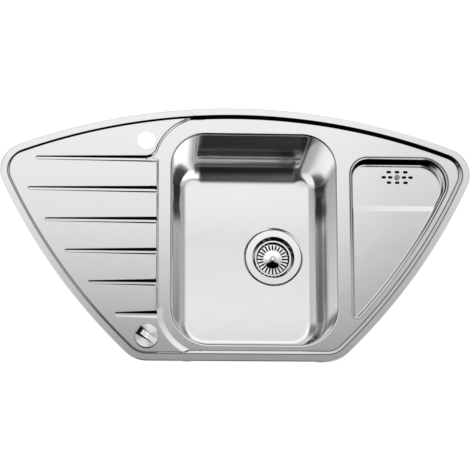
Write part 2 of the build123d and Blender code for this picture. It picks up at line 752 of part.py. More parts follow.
def make_strainer_cup():
    """The flanged steel cup that lines the hole in the bowl's floor."""
    cup = cylinder(*WASTE, FLANGE_DIAMETER, CUP_SEAT, FLANGE_TOP)
    cup += cylinder(*WASTE, CUP_DIAMETER, CUP_BOTTOM, CUP_SEAT)
    cup -= cylinder(*WASTE, CUP_DIAMETER - 2 * CUP_WALL, CUP_FLOOR, FLANGE_TOP + OVERSHOOT)
    mouth = [e for e in box_edges(cup, FLANGE_TOP) if e.radius < CUP_DIAMETER / 2]
    cup = fillet(mouth, CUP_EDGE_RADIUS)
    cup += cylinder(*WASTE, HUB_DIAMETER, CUP_BOTTOM - HUB_HEIGHT, CUP_BOTTOM)
    cup -= cylinder(*WASTE, PIN_DIAMETER + 2 * RUNNING, CUP_BOTTOM - OVERSHOOT, CUP_FLOOR + OVERSHOOT)
    for place in PolarLocations(WINDOW_CIRCLE / 2, WINDOW_COUNT):
        window = cylinder(0, 0, WINDOW_DIAMETER, CUP_BOTTOM - 1, CUP_FLOOR + 1)
        cup -= Pos(*WASTE) * place * window
    for place in PolarLocations(CUP_SCREW_CIRCLE / 2, CUP_SCREW_COUNT):
        hole = cylinder(0, 0, CUP_SCREW + 2 * FREE, CUP_BOTTOM - 1, CUP_FLOOR + 1)
        cup -= Pos(*WASTE) * place * hole
    return cup


def make_cup_gasket():
    return ring(*WASTE, FLANGE_DIAMETER - 2, FLOOR_HOLE_DIAMETER, RECESS_TOP, CUP_SEAT)


def make_bowl_gasket():
    return ring(*WASTE, BODY_FLANGE, BODY_BORE, BODY_TOP, BODY_TOP + BOWL_GASKET)


def cross_recess(length):
    """The cross that is cut down into a screw's head."""
    bar = Box(length, CROSS_WIDTH, 2 * CROSS_DEPTH)
    return bar + Rot(0, 0, 90) * bar


def make_cup_screws():
    """The screws that pull the cup down onto the body."""
    screw = cylinder(0, 0, CUP_SCREW_HEAD, CUP_FLOOR, CUP_FLOOR + CUP_SCREW_HEAD_HEIGHT)
    screw = fillet(box_edges(screw, CUP_FLOOR + CUP_SCREW_HEAD_HEIGHT), CUP_SCREW_HEAD_ROUND)
    screw += cylinder(0, 0, CUP_SCREW, CUP_FLOOR - CUP_SCREW_LENGTH, CUP_FLOOR)
    screw -= Pos(0, 0, CUP_FLOOR + CUP_SCREW_HEAD_HEIGHT) * cross_recess(CROSS_LENGTH)
    places = PolarLocations(CUP_SCREW_CIRCLE / 2, CUP_SCREW_COUNT)
    return Compound([Pos(*WASTE) * place * screw for place in places])


def crank_box(wall):
    """The crank housing's outside, or with a wall its inside."""
    left = WASTE_X - BODY_BORE / 2 - CRANK_BOX_LENGTH
    return block(
        (left, WASTE_Y + CRANK_ARM - CRANK_BOX_FRONT + wall, CRANK_Z - CRANK_BOX_BELOW + wall),
        (
            left + CRANK_BOX_LENGTH + BODY_WALL - 2 * wall,
            WASTE_Y + CRANK_ARM + CRANK_BOX_BACK - wall,
            CRANK_Z + CRANK_BOX_ABOVE - wall,
        ),
    )


RIGHTWARDS = (1, 0, 0)


def along(start, direction, diameter, length):
    """A cylinder that runs from a point in a direction."""
    plane = Plane(origin=start, z_dir=direction)
    return plane * Pos(0, 0, length / 2) * Cylinder(diameter / 2, length)


OVERFLOW_HEADING = math.degrees(math.atan2(OVERFLOW_Y - WASTE_Y, OVERFLOW_X - WASTE_X))
OVERFLOW_WAY = (math.cos(math.radians(OVERFLOW_HEADING)), math.sin(math.radians(OVERFLOW_HEADING)), 0.0)
SOCKET_BORE = PIPE_DIAMETER + 2 * FREE
SOCKET_OUTER = SOCKET_BORE + 2 * SOCKET_WALL
SOCKET_START = BODY_BORE / 2 + BODY_WALL / 2
SOCKET_END = SOCKET_START + SOCKET_LENGTH + BODY_WALL / 2
CRANK_Y = WASTE_Y + CRANK_ARM
LEVER_X = WASTE_X - BODY_BORE / 2 - CRANK_BOX_LENGTH / 2
CABLE_END = (LEVER_X, CRANK_Y - CRANK_BOX_FRONT, CRANK_Z - LEVER_ARM)


def make_waste_body():
    """The plastic body under the bowl, with its outlet, overflow inlet and crank housing."""
    outer = BODY_BORE + 2 * BODY_WALL
    bottom = BODY_FLOOR - BODY_WALL
    body = cylinder(*WASTE, BODY_FLANGE, BODY_TOP - BODY_FLANGE_HEIGHT, BODY_TOP)
    body += cylinder(*WASTE, outer, bottom, BODY_TOP)
    body = fillet([e for e in box_edges(body, bottom)], BODY_WALL * 2)
    body += cylinder(*WASTE, OUTLET_THREAD, bottom - OUTLET_LENGTH, bottom)
    body += crank_box(0)
    inlet = (WASTE_X + OVERFLOW_WAY[0] * SOCKET_START, WASTE_Y + OVERFLOW_WAY[1] * SOCKET_START, SOCKET_Z)
    body += along(inlet, OVERFLOW_WAY, SOCKET_OUTER, SOCKET_END - SOCKET_START)
    body -= cylinder(*WASTE, BODY_BORE, BODY_FLOOR, BODY_TOP + OVERSHOOT)
    body -= cylinder(*WASTE, OUTLET_BORE, bottom - 2 * OUTLET_LENGTH, BODY_TOP)
    body -= along((WASTE_X, WASTE_Y, SOCKET_Z), OVERFLOW_WAY, SOCKET_BORE, SOCKET_END + OVERSHOOT)
    # The crank housing is open towards the left, where its cover goes.
    inside = crank_box(HOUSING_WALL)
    body -= inside + inside.moved(Location((-CRANK_BOX_LENGTH / 2, 0, 0)))
    wall_x = WASTE_X - BODY_BORE / 2 - CRANK_BOX_LENGTH
    body -= along((wall_x, CRANK_Y, CRANK_Z), RIGHTWARDS, CRANK_SHAFT + 2 * RUNNING, BODY_BORE / 2)
    gland = (CABLE_END[0], CABLE_END[1] + HOUSING_WALL / 2, CABLE_END[2])
    body += along(gland, (0, -1, 0), GLAND_DIAMETER, GLAND_LENGTH + HOUSING_WALL / 2)
    body -= along(
        (gland[0], gland[1] + HOUSING_WALL, gland[2]), (0, -1, 0), FERRULE_DIAMETER, 2 * GLAND_LENGTH
    )
    for place in PolarLocations(CUP_SCREW_CIRCLE / 2, CUP_SCREW_COUNT):
        boss = cylinder(0, 0, BOSS_DIAMETER, BODY_FLOOR, CUP_BOTTOM)
        hole = cylinder(0, 0, CUP_SCREW, CUP_FLOOR - CUP_SCREW_LENGTH, CUP_BOTTOM + 1)
        body += Pos(*WASTE) * place * (boss - hole)
        body -= Pos(*WASTE) * place * hole
    return body


def make_lift_pin():
    """The pin that pushes the basket up through the cup's hub."""
    foot_bottom = CRANK_Z + CRANK_FINGER / 2 + SEATED
    pin = cylinder(*WASTE, PIN_FOOT_DIAMETER, foot_bottom, foot_bottom + PIN_FOOT_HEIGHT)
    pin += cylinder(*WASTE, PIN_DIAMETER, foot_bottom, PIN_TOP)
    return chamfer(box_edges(pin, PIN_TOP), PIN_BEVEL)


def make_crank_shaft():
    """The cranked shaft whose finger lies under the lift pin."""
    box_left = WASTE_X - BODY_BORE / 2 - CRANK_BOX_LENGTH
    web_x = WASTE_X - PIN_FOOT_DIAMETER / 2 - CRANK_WEB
    start = box_left + HOUSING_WALL + SEATED
    shaft = along((start, CRANK_Y, CRANK_Z), RIGHTWARDS, CRANK_SHAFT, web_x + CRANK_WEB - start)
    web = block(
        (web_x, WASTE_Y, CRANK_Z - CRANK_FINGER / 2),
        (web_x + CRANK_WEB, CRANK_Y, CRANK_Z + CRANK_FINGER / 2),
    )
    finger = along((web_x, WASTE_Y, CRANK_Z), RIGHTWARDS, CRANK_FINGER, CRANK_WEB + PIN_FOOT_DIAMETER)
    return shaft + web + finger


def make_crank_lever():
    """The lever on the crank's outer end, which the cable pulls."""
    start = LEVER_X - LEVER_THICKNESS / 2
    pivot = (start, CRANK_Y, CRANK_Z)
    end = (start, CRANK_Y, CRANK_Z - LEVER_ARM)
    lever = along(pivot, RIGHTWARDS, LEVER_HUB, LEVER_THICKNESS)
    lever += along(end, RIGHTWARDS, LEVER_END, LEVER_THICKNESS)
    lever += block(
        (start, CRANK_Y - CRANK_SHAFT / 2, CRANK_Z - LEVER_ARM),
        (start + LEVER_THICKNESS, CRANK_Y + CRANK_SHAFT / 2, CRANK_Z),
    )
    lever -= along(pivot, RIGHTWARDS, CRANK_SHAFT, LEVER_THICKNESS)
    return lever - along(end, RIGHTWARDS, WIRE_HOLE, LEVER_THICKNESS)


def make_crank_seal():
    """The ring that keeps water out of the crank housing."""
    start = WASTE_X - BODY_BORE / 2 - BODY_WALL - HOUSING_WALL
    place = (start, CRANK_Y, CRANK_Z)
    bore = CRANK_SHAFT + 2 * RUNNING
    seal = along(place, RIGHTWARDS, CRANK_SEAL, HOUSING_WALL)
    return seal - along(place, RIGHTWARDS, bore, HOUSING_WALL)


def make_crank_cover():
    """The lid of the crank housing."""
    left = WASTE_X - BODY_BORE / 2 - CRANK_BOX_LENGTH
    low_y = CRANK_Y - CRANK_BOX_FRONT
    high_y = CRANK_Y + CRANK_BOX_BACK
    lid = block(
        (left - HOUSING_WALL, low_y, CRANK_Z - CRANK_BOX_BELOW),
        (left, high_y, CRANK_Z + CRANK_BOX_ABOVE),
    )
    lid = fillet(lid.edges().filter_by(Axis.X), HOUSING_WALL)
    plug = HOUSING_WALL + FREE / 2
    return lid + block(
        (left, low_y + plug, CRANK_Z - CRANK_BOX_BELOW + plug),
        (left + HOUSING_WALL, high_y - plug, CRANK_Z + CRANK_BOX_ABOVE - plug),
    )


# ---------------------------------------------------------------- the basket


def turned(points):
    """A solid turned about the waste's axis from points of radius and height."""
    outline = make_face(Polyline(*[(r, 0, z) for r, z in points], close=True))
    return Pos(WASTE_X, WASTE_Y, 0) * revolve(outline, Axis.Z)


def make_strainer_basket():
    """The slotted basket, with a dished middle and a rolled rim."""
    top = BASKET_DIAMETER / 2
    floor = BASKET_FLOOR_DIAMETER / 2
    inner = BASKET_SLOT_INNER - BASKET_DISH_DEPTH
    knob = BASKET_KNOB_DIAMETER / 2
    wall = BASKET_SHEET
    basket = turned(
        [
            (0, BASKET_FLOOR + BASKET_DISH_DEPTH),
            (knob, BASKET_FLOOR + BASKET_DISH_DEPTH),
            (inner, BASKET_FLOOR),
            (floor - wall, BASKET_FLOOR),
            (top - wall - BASKET_LIP / 2, BASKET_RIM - wall),
            (top, BASKET_RIM - wall),
            (top, BASKET_RIM),
            (top - wall - BASKET_LIP, BASKET_RIM),
            (floor - wall - BASKET_FLOOR_ROUND, BASKET_FLOOR + wall),
            (inner, BASKET_FLOOR + wall),
            (knob, BASKET_FLOOR + BASKET_DISH_DEPTH + wall),
            (0, BASKET_FLOOR + BASKET_DISH_DEPTH + wall),
        ]
    )
    slot_length = top - BASKET_LIP - wall - BASKET_SLOT_INNER
    slot_top = BASKET_RIM - 2 * wall - BASKET_LIP
    slot_bottom = BASKET_FLOOR - wall
    cutter = Box(slot_length, BASKET_SLOT_WIDTH, slot_top - slot_bottom)
    inner_end = Cylinder(BASKET_SLOT_WIDTH / 2, slot_top - slot_bottom)
    middle_z = (slot_top + slot_bottom) / 2
    for index in range(BASKET_SLOT_COUNT):
        turn = Rot(0, 0, 360 * index / BASKET_SLOT_COUNT)
        place = Pos(WASTE_X, WASTE_Y, middle_z) * turn
        basket -= place * Pos(BASKET_SLOT_INNER + slot_length / 2, 0, 0) * cutter
        basket -= place * Pos(BASKET_SLOT_INNER, 0, 0) * inner_end
    return basket


def make_basket_knob():
    """The small knob that the basket is lifted by."""
    base = BASKET_FLOOR + BASKET_DISH_DEPTH + BASKET_SHEET
    top = base + BASKET_KNOB_HEIGHT
    radius = BASKET_KNOB_DIAMETER / 2
    neck = BASKET_KNOB_NECK / 2
    bevel = BASKET_KNOB_BEVEL
    return turned(
        [
            (0, base),
            (neck, base),
            (neck, base + BASKET_KNOB_NECK_HEIGHT),
            (radius, base + BASKET_KNOB_NECK_HEIGHT + bevel),
            (radius, top - bevel),
            (radius - bevel, top),
            (0, top),
        ]
    )


def make_basket_stem():
    """The boss under the basket that rests on the lift pin."""
    top = BASKET_FLOOR + BASKET_DISH_DEPTH
    bottom = PIN_TOP + SEATED
    radius = BASKET_STEM_DIAMETER / 2
    knob = BASKET_KNOB_DIAMETER / 2
    stem = cylinder(*WASTE, 2 * radius, bottom, BASKET_FLOOR)
    return stem + cylinder(*WASTE, 2 * knob, BASKET_FLOOR, top)


def make_basket_seal():
    """The rubber bell under the basket that closes the cup's windows."""
    top = BASKET_FLOOR
    bottom = CUP_FLOOR + SEATED
    lip = BASKET_SEAL_DIAMETER / 2
    neck = BASKET_SEAL_TOP / 2
    stem = BASKET_STEM_DIAMETER / 2
    wall = BASKET_SEAL_WALL
    return turned(
        [
            (stem, top),
            (neck, top),
            (lip, bottom + wall),
            (lip, bottom),
            (lip - 2 * wall, bottom),
            (neck - wall, top - wall),
            (stem, top - wall),
        ]
    )


# ---------------------------------------------------------------- the control knob

KNOB = (KNOB_X, KNOB_Y)
BEZEL_BASE = LEDGE_TOP + KNOB_GASKET
KNOB_FACE = LEDGE_TOP + KNOB_LIFT + KNOB_HEIGHT
ACTUATOR_TOP = LEDGE_TOP - SHEET
ACTUATOR_BOTTOM = ACTUATOR_TOP - ACTUATOR_DEPTH
DRUM_TOP = LEDGE_TOP - DRUM_DROP
DRUM_BOTTOM = DRUM_TOP - DRUM_HEIGHT
DRUM_MIDDLE = (DRUM_TOP + DRUM_BOTTOM) / 2
CABLE_X = KNOB_X + DRUM_GROOVE_DIAMETER / 2
CABLE_EXIT_Y = KNOB_Y + math.sqrt((ACTUATOR_DIAMETER / 2) ** 2 - (DRUM_GROOVE_DIAMETER / 2) ** 2)


def knob_grip():
    """The knob's wedge-shaped grip, high at one end and level with the rim at the other."""
    half = GRIP_WIDTH / 2
    flared = half + GRIP_FLARE
    end = KNOB_DIAMETER / 2 - GRIP_MARGIN
    low = KNOB_FACE - GRIP_ROOT
    top = KNOB_FACE + GRIP_HEIGHT
    high_end = [(-GRIP_END, -half, top), (-GRIP_END, half, top), (-end, flared, low), (-end, -flared, low)]
    low_end = [(end, -half, KNOB_FACE), (end, half, KNOB_FACE), (end, half, low), (end, -half, low)]
    wires = [Wire.make_polygon(points) for points in (high_end, low_end)]
    return Part() + Solid.make_loft(wires, ruled=True)


def make_control_knob():
    """The knob: a round cap with a wedge-shaped grip, and a stem that runs down to the drum."""
    bottom = LEDGE_TOP + KNOB_LIFT
    cap = cylinder(0, 0, KNOB_DIAMETER, bottom, KNOB_FACE)
    cap = fillet(box_edges(cap, KNOB_FACE), KNOB_ROUND)
    cap += knob_grip() & cylinder(0, 0, KNOB_DIAMETER - KNOB_ROUND, bottom, KNOB_FACE + 2 * GRIP_HEIGHT)
    cap -= cylinder(0, 0, KNOB_DIAMETER - 2 * KNOB_SKIRT, bottom - 1, BEZEL_BASE + BEZEL_FLANGE + FREE)
    cap += cylinder(0, 0, KNOB_STEM, DRUM_BOTTOM, KNOB_FACE - KNOB_ROUND)
    cap -= cylinder(0, 0, DRUM_SCREW, DRUM_BOTTOM - 1, DRUM_BOTTOM + DRUM_HEIGHT)
    return Pos(*KNOB) * Rot(0, 0, KNOB_ANGLE) * cap


def make_knob_bezel():
    """The threaded bush that the knob turns in."""
    bezel = cylinder(*KNOB, BEZEL_DIAMETER, BEZEL_BASE, BEZEL_BASE + BEZEL_FLANGE)
    bezel += cylinder(*KNOB, BEZEL_THREAD, BEZEL_BASE - BEZEL_LENGTH, BEZEL_BASE)
    bezel -= cylinder(*KNOB, KNOB_STEM + 2 * RUNNING, -BIG, BIG)
    return bezel


def make_knob_gasket():
    return ring(*KNOB, BEZEL_DIAMETER, BEZEL_THREAD, LEDGE_TOP, BEZEL_BASE)


def make_knob_nut():
    top = ACTUATOR_TOP - ACTUATOR_WALL
    nut = cylinder(*KNOB, KNOB_NUT_DIAMETER, top - KNOB_NUT_HEIGHT, top)
    for place in PolarLocations(KNOB_NUT_DIAMETER / 2, KNOB_NUT_NOTCHES):
        nut -= Pos(*KNOB) * place * cylinder(0, 0, KNOB_NUT_NOTCH, top - KNOB_NUT_HEIGHT, top)
    return nut - cylinder(*KNOB, BEZEL_THREAD, -BIG, BIG)


def make_knob_housing():
    """The round housing under the ledge that the cable drum turns in."""
    housing = cylinder(*KNOB, ACTUATOR_DIAMETER, ACTUATOR_BOTTOM, ACTUATOR_TOP)
    gland = (CABLE_X, CABLE_EXIT_Y - ACTUATOR_WALL, DRUM_MIDDLE)
    housing += along(gland, (0, 1, 0), GLAND_DIAMETER, GLAND_LENGTH + ACTUATOR_WALL)
    inner = ACTUATOR_DIAMETER - 2 * ACTUATOR_WALL
    housing -= cylinder(*KNOB, inner, ACTUATOR_BOTTOM - 1, ACTUATOR_TOP - ACTUATOR_WALL)
    housing -= cylinder(*KNOB, BEZEL_THREAD + 2 * FREE, ACTUATOR_BOTTOM, ACTUATOR_TOP + 1)
    inside = (CABLE_X, CABLE_EXIT_Y - OVERSHOOT, DRUM_MIDDLE)
    housing -= along(inside, (0, 1, 0), FERRULE_DIAMETER, 3 * OVERSHOOT)
    return housing


def make_housing_cover():
    """The cover that closes the knob's housing from below."""
    inner = ACTUATOR_DIAMETER - 2 * ACTUATOR_WALL - FREE
    cover = cylinder(*KNOB, ACTUATOR_DIAMETER, ACTUATOR_BOTTOM - COVER_HEIGHT, ACTUATOR_BOTTOM)
    cover += ring(*KNOB, inner, inner - 2 * HOUSING_WALL, ACTUATOR_BOTTOM, ACTUATOR_BOTTOM + COVER_HEIGHT)
    return cover


def make_cable_drum():
    """The grooved drum that winds the cable's wire."""
    drum = ring(*KNOB, DRUM_DIAMETER, KNOB_STEM, DRUM_BOTTOM, DRUM_TOP)
    low = DRUM_BOTTOM + DRUM_FLANGE
    high = DRUM_TOP - DRUM_FLANGE
    return drum - ring(*KNOB, DRUM_DIAMETER + OVERSHOOT, DRUM_GROOVE_DIAMETER, low, high)


def make_drum_screw():
    """The screw and its washer head that hold the drum on the knob's stem."""
    screw = cylinder(*KNOB, DRUM_SCREW_HEAD, DRUM_BOTTOM - DRUM_SCREW_HEAD_HEIGHT, DRUM_BOTTOM)
    return screw + cylinder(*KNOB, DRUM_SCREW, DRUM_BOTTOM, DRUM_BOTTOM + DRUM_SCREW_LENGTH)


# ---------------------------------------------------------------- the control cable


def cable_path():
    """The sheath's route: back from the knob, down beside the bowl, and under it to the waste."""
    start = (CABLE_X, CABLE_EXIT_Y + GLAND_LENGTH - FERRULE_HOLD / 2, DRUM_MIDDLE)
    end = (CABLE_END[0], CABLE_END[1] - GLAND_LENGTH + FERRULE_HOLD / 2, CABLE_END[2])
    bend_y = (start[1] + end[1]) / 2
    points = [
        start,
        (start[0], bend_y, start[2]),
        (start[0], bend_y, end[2]),
        (end[0], bend_y, end[2]),
        end,
    ]
    return FilletPolyline(*points, radius=list(CABLE_RADII))


def make_control_cable():
    path = cable_path()
    start = Plane(origin=path @ 0, z_dir=path % 0)
    return sweep(start * Circle(CABLE_DIAMETER / 2), path=path)


def make_cable_ferrules():
    """The sleeves that hold the sheath's two ends in the housings."""
    path = cable_path()
    solids = []
    for place, way in ((path @ 0, path % 0), (path @ 1, -(path % 1))):
        base = place - way * FERRULE_HOLD
        sleeve = along(base, way, FERRULE_DIAMETER, FERRULE_LENGTH)
        mouth = place + way * (FERRULE_HOLD / 2)
        collar = along(mouth, way, FERRULE_COLLAR, FERRULE_COLLAR_LENGTH)
        bore = along(place, way, CABLE_DIAMETER, FERRULE_LENGTH)
        wire_way = along(base - way, way, WIRE_DIAMETER, FERRULE_LENGTH)
        solids.append(sleeve + collar - bore - wire_way)
    return Compound(solids)


# ---------------------------------------------------------------- the overflow

OVERFLOW = (OVERFLOW_X, OVERFLOW_Y)
OVERFLOW_TOP = TRAY_DEEP_FLOOR - SHEET - OVERFLOW_GASKET
OVERFLOW_BOTTOM = OVERFLOW_TOP - OVERFLOW_BOX_DEPTH


def overflow_oval(inset, bottom, top):
    """The funnel's round-ended outline, moved inwards, as an upright solid."""
    oval = SlotOverall(OVERFLOW_BOX_LENGTH - 2 * inset, OVERFLOW_BOX_WIDTH - 2 * inset)
    return Pos(*OVERFLOW, bottom) * extrude(oval, amount=top - bottom)


def make_overflow_screw():
    head_top = TRAY_DEEP_FLOOR + OVERFLOW_SCREW_HEAD_HEIGHT
    screw = cylinder(*OVERFLOW, OVERFLOW_SCREW_HEAD, TRAY_DEEP_FLOOR, head_top)
    screw = fillet(box_edges(screw, head_top), OVERFLOW_SCREW_HEAD_ROUND)
    screw += cylinder(*OVERFLOW, OVERFLOW_SCREW, TRAY_DEEP_FLOOR - OVERFLOW_SCREW_LENGTH, TRAY_DEEP_FLOOR)
    return screw - Pos(OVERFLOW_X, OVERFLOW_Y, head_top) * cross_recess(OVERFLOW_CROSS_LENGTH)


def make_overflow_gasket():
    top = OVERFLOW_TOP + OVERFLOW_GASKET
    return overflow_oval(0, OVERFLOW_TOP, top) - overflow_oval(OVERFLOW_WALL, OVERFLOW_TOP - 1, top + 1)


def make_overflow_housing():
    """The funnel under the tray that catches the overflow's water."""
    wall = OVERFLOW_WALL
    inside = OVERFLOW_BOTTOM + wall
    housing = overflow_oval(0, OVERFLOW_BOTTOM, OVERFLOW_TOP)
    housing = fillet(box_edges(housing, OVERFLOW_BOTTOM), 2 * wall)
    housing -= overflow_oval(wall, inside, OVERFLOW_TOP + 1)
    housing += cylinder(*OVERFLOW, SOCKET_OUTER, OVERFLOW_BOTTOM - SOCKET_LENGTH, inside)
    housing -= cylinder(*OVERFLOW, SOCKET_BORE, OVERFLOW_BOTTOM - 2 * SOCKET_LENGTH, inside + 1)
    post_top = TRAY_DEEP_FLOOR - SHEET
    post = cylinder(*OVERFLOW, OVERFLOW_POST, OVERFLOW_BOTTOM, post_top)
    web = block(
        (OVERFLOW_X - (OVERFLOW_BOX_LENGTH - wall) / 2, OVERFLOW_Y - wall / 2, inside),
        (
            OVERFLOW_X + (OVERFLOW_BOX_LENGTH - wall) / 2,
            OVERFLOW_Y + wall / 2,
            OVERFLOW_TOP - OVERFLOW_WEB_DROP,
        ),
    )
    housing += post + web
    return housing - cylinder(*OVERFLOW, OVERFLOW_SCREW, OVERFLOW_BOTTOM - 1, post_top + 1)


def pipe_path():
    """The pipe's middle line, from the overflow's socket down and across to the waste body."""
    far = SOCKET_START + BODY_WALL / 2 + PIPE_END_GAP
    end = (WASTE_X + OVERFLOW_WAY[0] * far, WASTE_Y + OVERFLOW_WAY[1] * far, SOCKET_Z)
    top = (OVERFLOW_X, OVERFLOW_Y, OVERFLOW_BOTTOM - PIPE_END_GAP)
    return FilletPolyline(top, (OVERFLOW_X, OVERFLOW_Y, SOCKET_Z), end, radius=PIPE_BEND)


def make_overflow_pipe():
    path = pipe_path()
    start = Plane(origin=path @ 0, z_dir=path % 0)
    outer = sweep(start * Circle(PIPE_DIAMETER / 2), path=path)
    inner = sweep(start * Circle(PIPE_DIAMETER / 2 - PIPE_WALL), path=path)
    return outer - inner


def socket_ends():
    """The mouths of the two pipe sockets, each with the way that the pipe leaves it."""
    mouth = (WASTE_X + OVERFLOW_WAY[0] * SOCKET_END, WASTE_Y + OVERFLOW_WAY[1] * SOCKET_END, SOCKET_Z)
    return (
        (Vector(OVERFLOW_X, OVERFLOW_Y, OVERFLOW_BOTTOM - SOCKET_LENGTH), Vector(0, 0, -1)),
        (Vector(*mouth), Vector(*OVERFLOW_WAY)),
    )


def make_overflow_nuts():
    """The union nuts that hold the pipe in its two sockets."""
    solids = []
    for mouth, way in socket_ends():
        start = mouth - way * (UNION_LENGTH - UNION_WASHER - UNION_WALL)
        outer = along(start, way, SOCKET_OUTER + 2 * UNION_WALL + 2 * FREE, UNION_LENGTH)
        thread = along(start - way, way, SOCKET_OUTER + 2 * FREE, UNION_LENGTH - UNION_WALL + 1)
        passage = along(start, way, PIPE_DIAMETER + 2 * FREE, 2 * UNION_LENGTH)
        nut = outer - thread - passage
        plane = Plane(origin=start, z_dir=way)
        rib = cylinder(0, 0, UNION_RIB, 0, UNION_LENGTH)
        for place in PolarLocations(SOCKET_OUTER / 2 + UNION_WALL + FREE, UNION_RIBS):
            nut += plane * place * rib
        solids.append(nut)
    return Compound(solids)


def make_overflow_washers():
    """The washers that the union nuts press against the sockets."""
    solids = []
    for mouth, way in socket_ends():
        outer = along(mouth, way, SOCKET_OUTER, UNION_WASHER)
        solids.append(outer - along(mouth - way, way, PIPE_DIAMETER, 2 * UNION_WASHER))
    return Compound(solids)


# ---------------------------------------------------------------- the rim seal and clips


def make_rim_seal():
    """The foam strip that closes the gap between the rim and the worktop."""
    top = RIM_TOP - SHEET
    inner = sink_outline(SEAL_MARGIN + SEAL_WIDTH)
    return prism(sink_outline(SEAL_MARGIN), 0, top) - prism(inner, -1, top + 1)


def outline_place(centre, radius, degrees, underside):
    """A place on the outline for a clip: where it is, its outward way and the sheet's underside."""
    x, y = polar(centre, radius, degrees)
    return Pos(x, y, 0) * Rot(0, 0, degrees), underside


def side_fall(y):
    """How far a side arc has turned down from its widest at a Y, in degrees."""
    return math.degrees(math.asin((SIDE_CENTRE[1] - y) / SIDE_ARC_RADIUS))


def clip_places():
    """The clips' places round the sink, clear of the bowl, the tray and the knob."""
    ledge = LEDGE_TOP - SHEET
    deck = DECK_TOP - SHEET
    left_side = mirrored(SIDE_CENTRE)
    places = []
    for x, underside in ((BACK_CLIP_SPACING, deck), (0.0, deck), (-BACK_CLIP_SPACING, ledge)):
        degrees = math.degrees(math.acos(x / BACK_ARC_RADIUS))
        places.append(outline_place(BACK_CENTRE, BACK_ARC_RADIUS, degrees, underside))
    turn = CORNER_CLIP_ANGLE
    places.append(outline_place(BACK_CORNER, BACK_CORNER_RADIUS, turn, deck))
    places.append(outline_place(mirrored(BACK_CORNER), BACK_CORNER_RADIUS, 180 - turn, ledge))
    plateaus = [groove_back(index) - (GROOVE_PITCH + GROOVE_WIDTH) / 2 for index in CLIP_PLATEAUS]
    for y in plateaus + [KNOB_Y]:
        places.append(outline_place(left_side, SIDE_ARC_RADIUS, 180 + side_fall(y), ledge))
    places.append(outline_place(SIDE_CENTRE, SIDE_ARC_RADIUS, -side_fall(KNOB_Y), deck))
    for x in (BOWL_FRONT_LEFT[0] - FRONT_CLIP_SHIFT, BOWL_FRONT_RIGHT[0] + FRONT_CLIP_SHIFT):
        places.append((Pos(x, -HALF_DEPTH, 0) * Rot(0, 0, -90), deck))
    return places


def clip_bracket(underside):
    """The angle welded under the deck: a plate and a tab with a threaded hole."""
    plate = block(
        (-CLIP_INSET - CLIP_LENGTH, -CLIP_WIDTH / 2, underside - CLIP_SHEET),
        (-CLIP_INSET, CLIP_WIDTH / 2, underside),
    )
    tab = block(
        (-CLIP_INSET - CLIP_SHEET, -CLIP_WIDTH / 2, underside - CLIP_TAB),
        (-CLIP_INSET, CLIP_WIDTH / 2, underside),
    )
    hole = along((-CLIP_INSET - CLIP_LENGTH, 0, -CLIP_BOLT_DROP), RIGHTWARDS, CLIP_BOLT, 2 * CLIP_LENGTH)
    return plate + tab - hole


def clip_claw():
    """The slotted claw that hooks under the worktop."""
    bottom = -WORKTOP - CLAW_TIP - CLAW_SHEET
    top = -CLIP_BOLT_DROP + CLIP_SLOT / 2 + CLAW_SHEET
    strip = block((-CLIP_INSET, -CLAW_WIDTH / 2, bottom), (-CLIP_INSET + CLAW_SHEET, CLAW_WIDTH / 2, top))
    foot = block(
        (-CLIP_INSET, -CLAW_WIDTH / 2, bottom),
        (-CLIP_INSET + CLAW_REACH, CLAW_WIDTH / 2, bottom + CLAW_SHEET),
    )
    tip = block(
        (-CLIP_INSET + CLAW_REACH - CLAW_SHEET, -CLAW_WIDTH / 2, bottom),
        (-CLIP_INSET + CLAW_REACH, CLAW_WIDTH / 2, -WORKTOP),
    )
    slot = Plane.YZ * SlotOverall(CLIP_SLOT, CLIP_BOLT + 2 * FREE, rotation=90)
    slot = Pos(-CLIP_INSET - CLAW_SHEET, 0, -CLIP_BOLT_DROP) * extrude(slot, amount=3 * CLAW_SHEET)
    return strip + foot + tip - slot


def hexagon(start, length):
    """A hexagonal bar that runs outwards from a plane at the clip."""
    plane = Plane(origin=(start, 0, -CLIP_BOLT_DROP), z_dir=(1, 0, 0))
    return extrude(plane * RegularPolygon(CLIP_HEX / 2, 6, major_radius=False), amount=length)


def clip_bolt():
    head = hexagon(-CLIP_INSET - CLIP_SHEET - CLIP_HEX_HEIGHT, CLIP_HEX_HEIGHT)
    start = -CLIP_INSET - CLIP_SHEET
    return head + along((start, 0, -CLIP_BOLT_DROP), RIGHTWARDS, CLIP_BOLT, CLIP_BOLT_LENGTH)


def clip_nut():
    start = -CLIP_INSET + CLAW_SHEET
    bore = along((start - 1, 0, -CLIP_BOLT_DROP), RIGHTWARDS, CLIP_BOLT, 2 * CLIP_HEX_HEIGHT)
    return hexagon(start, CLIP_HEX_HEIGHT) - bore


def at_clips(make):
    """One copy of a clip's piece at each place round the sink."""
    return Compound([place * make(underside) for place, underside in clip_places()])


# ---------------------------------------------------------------- the sound pads


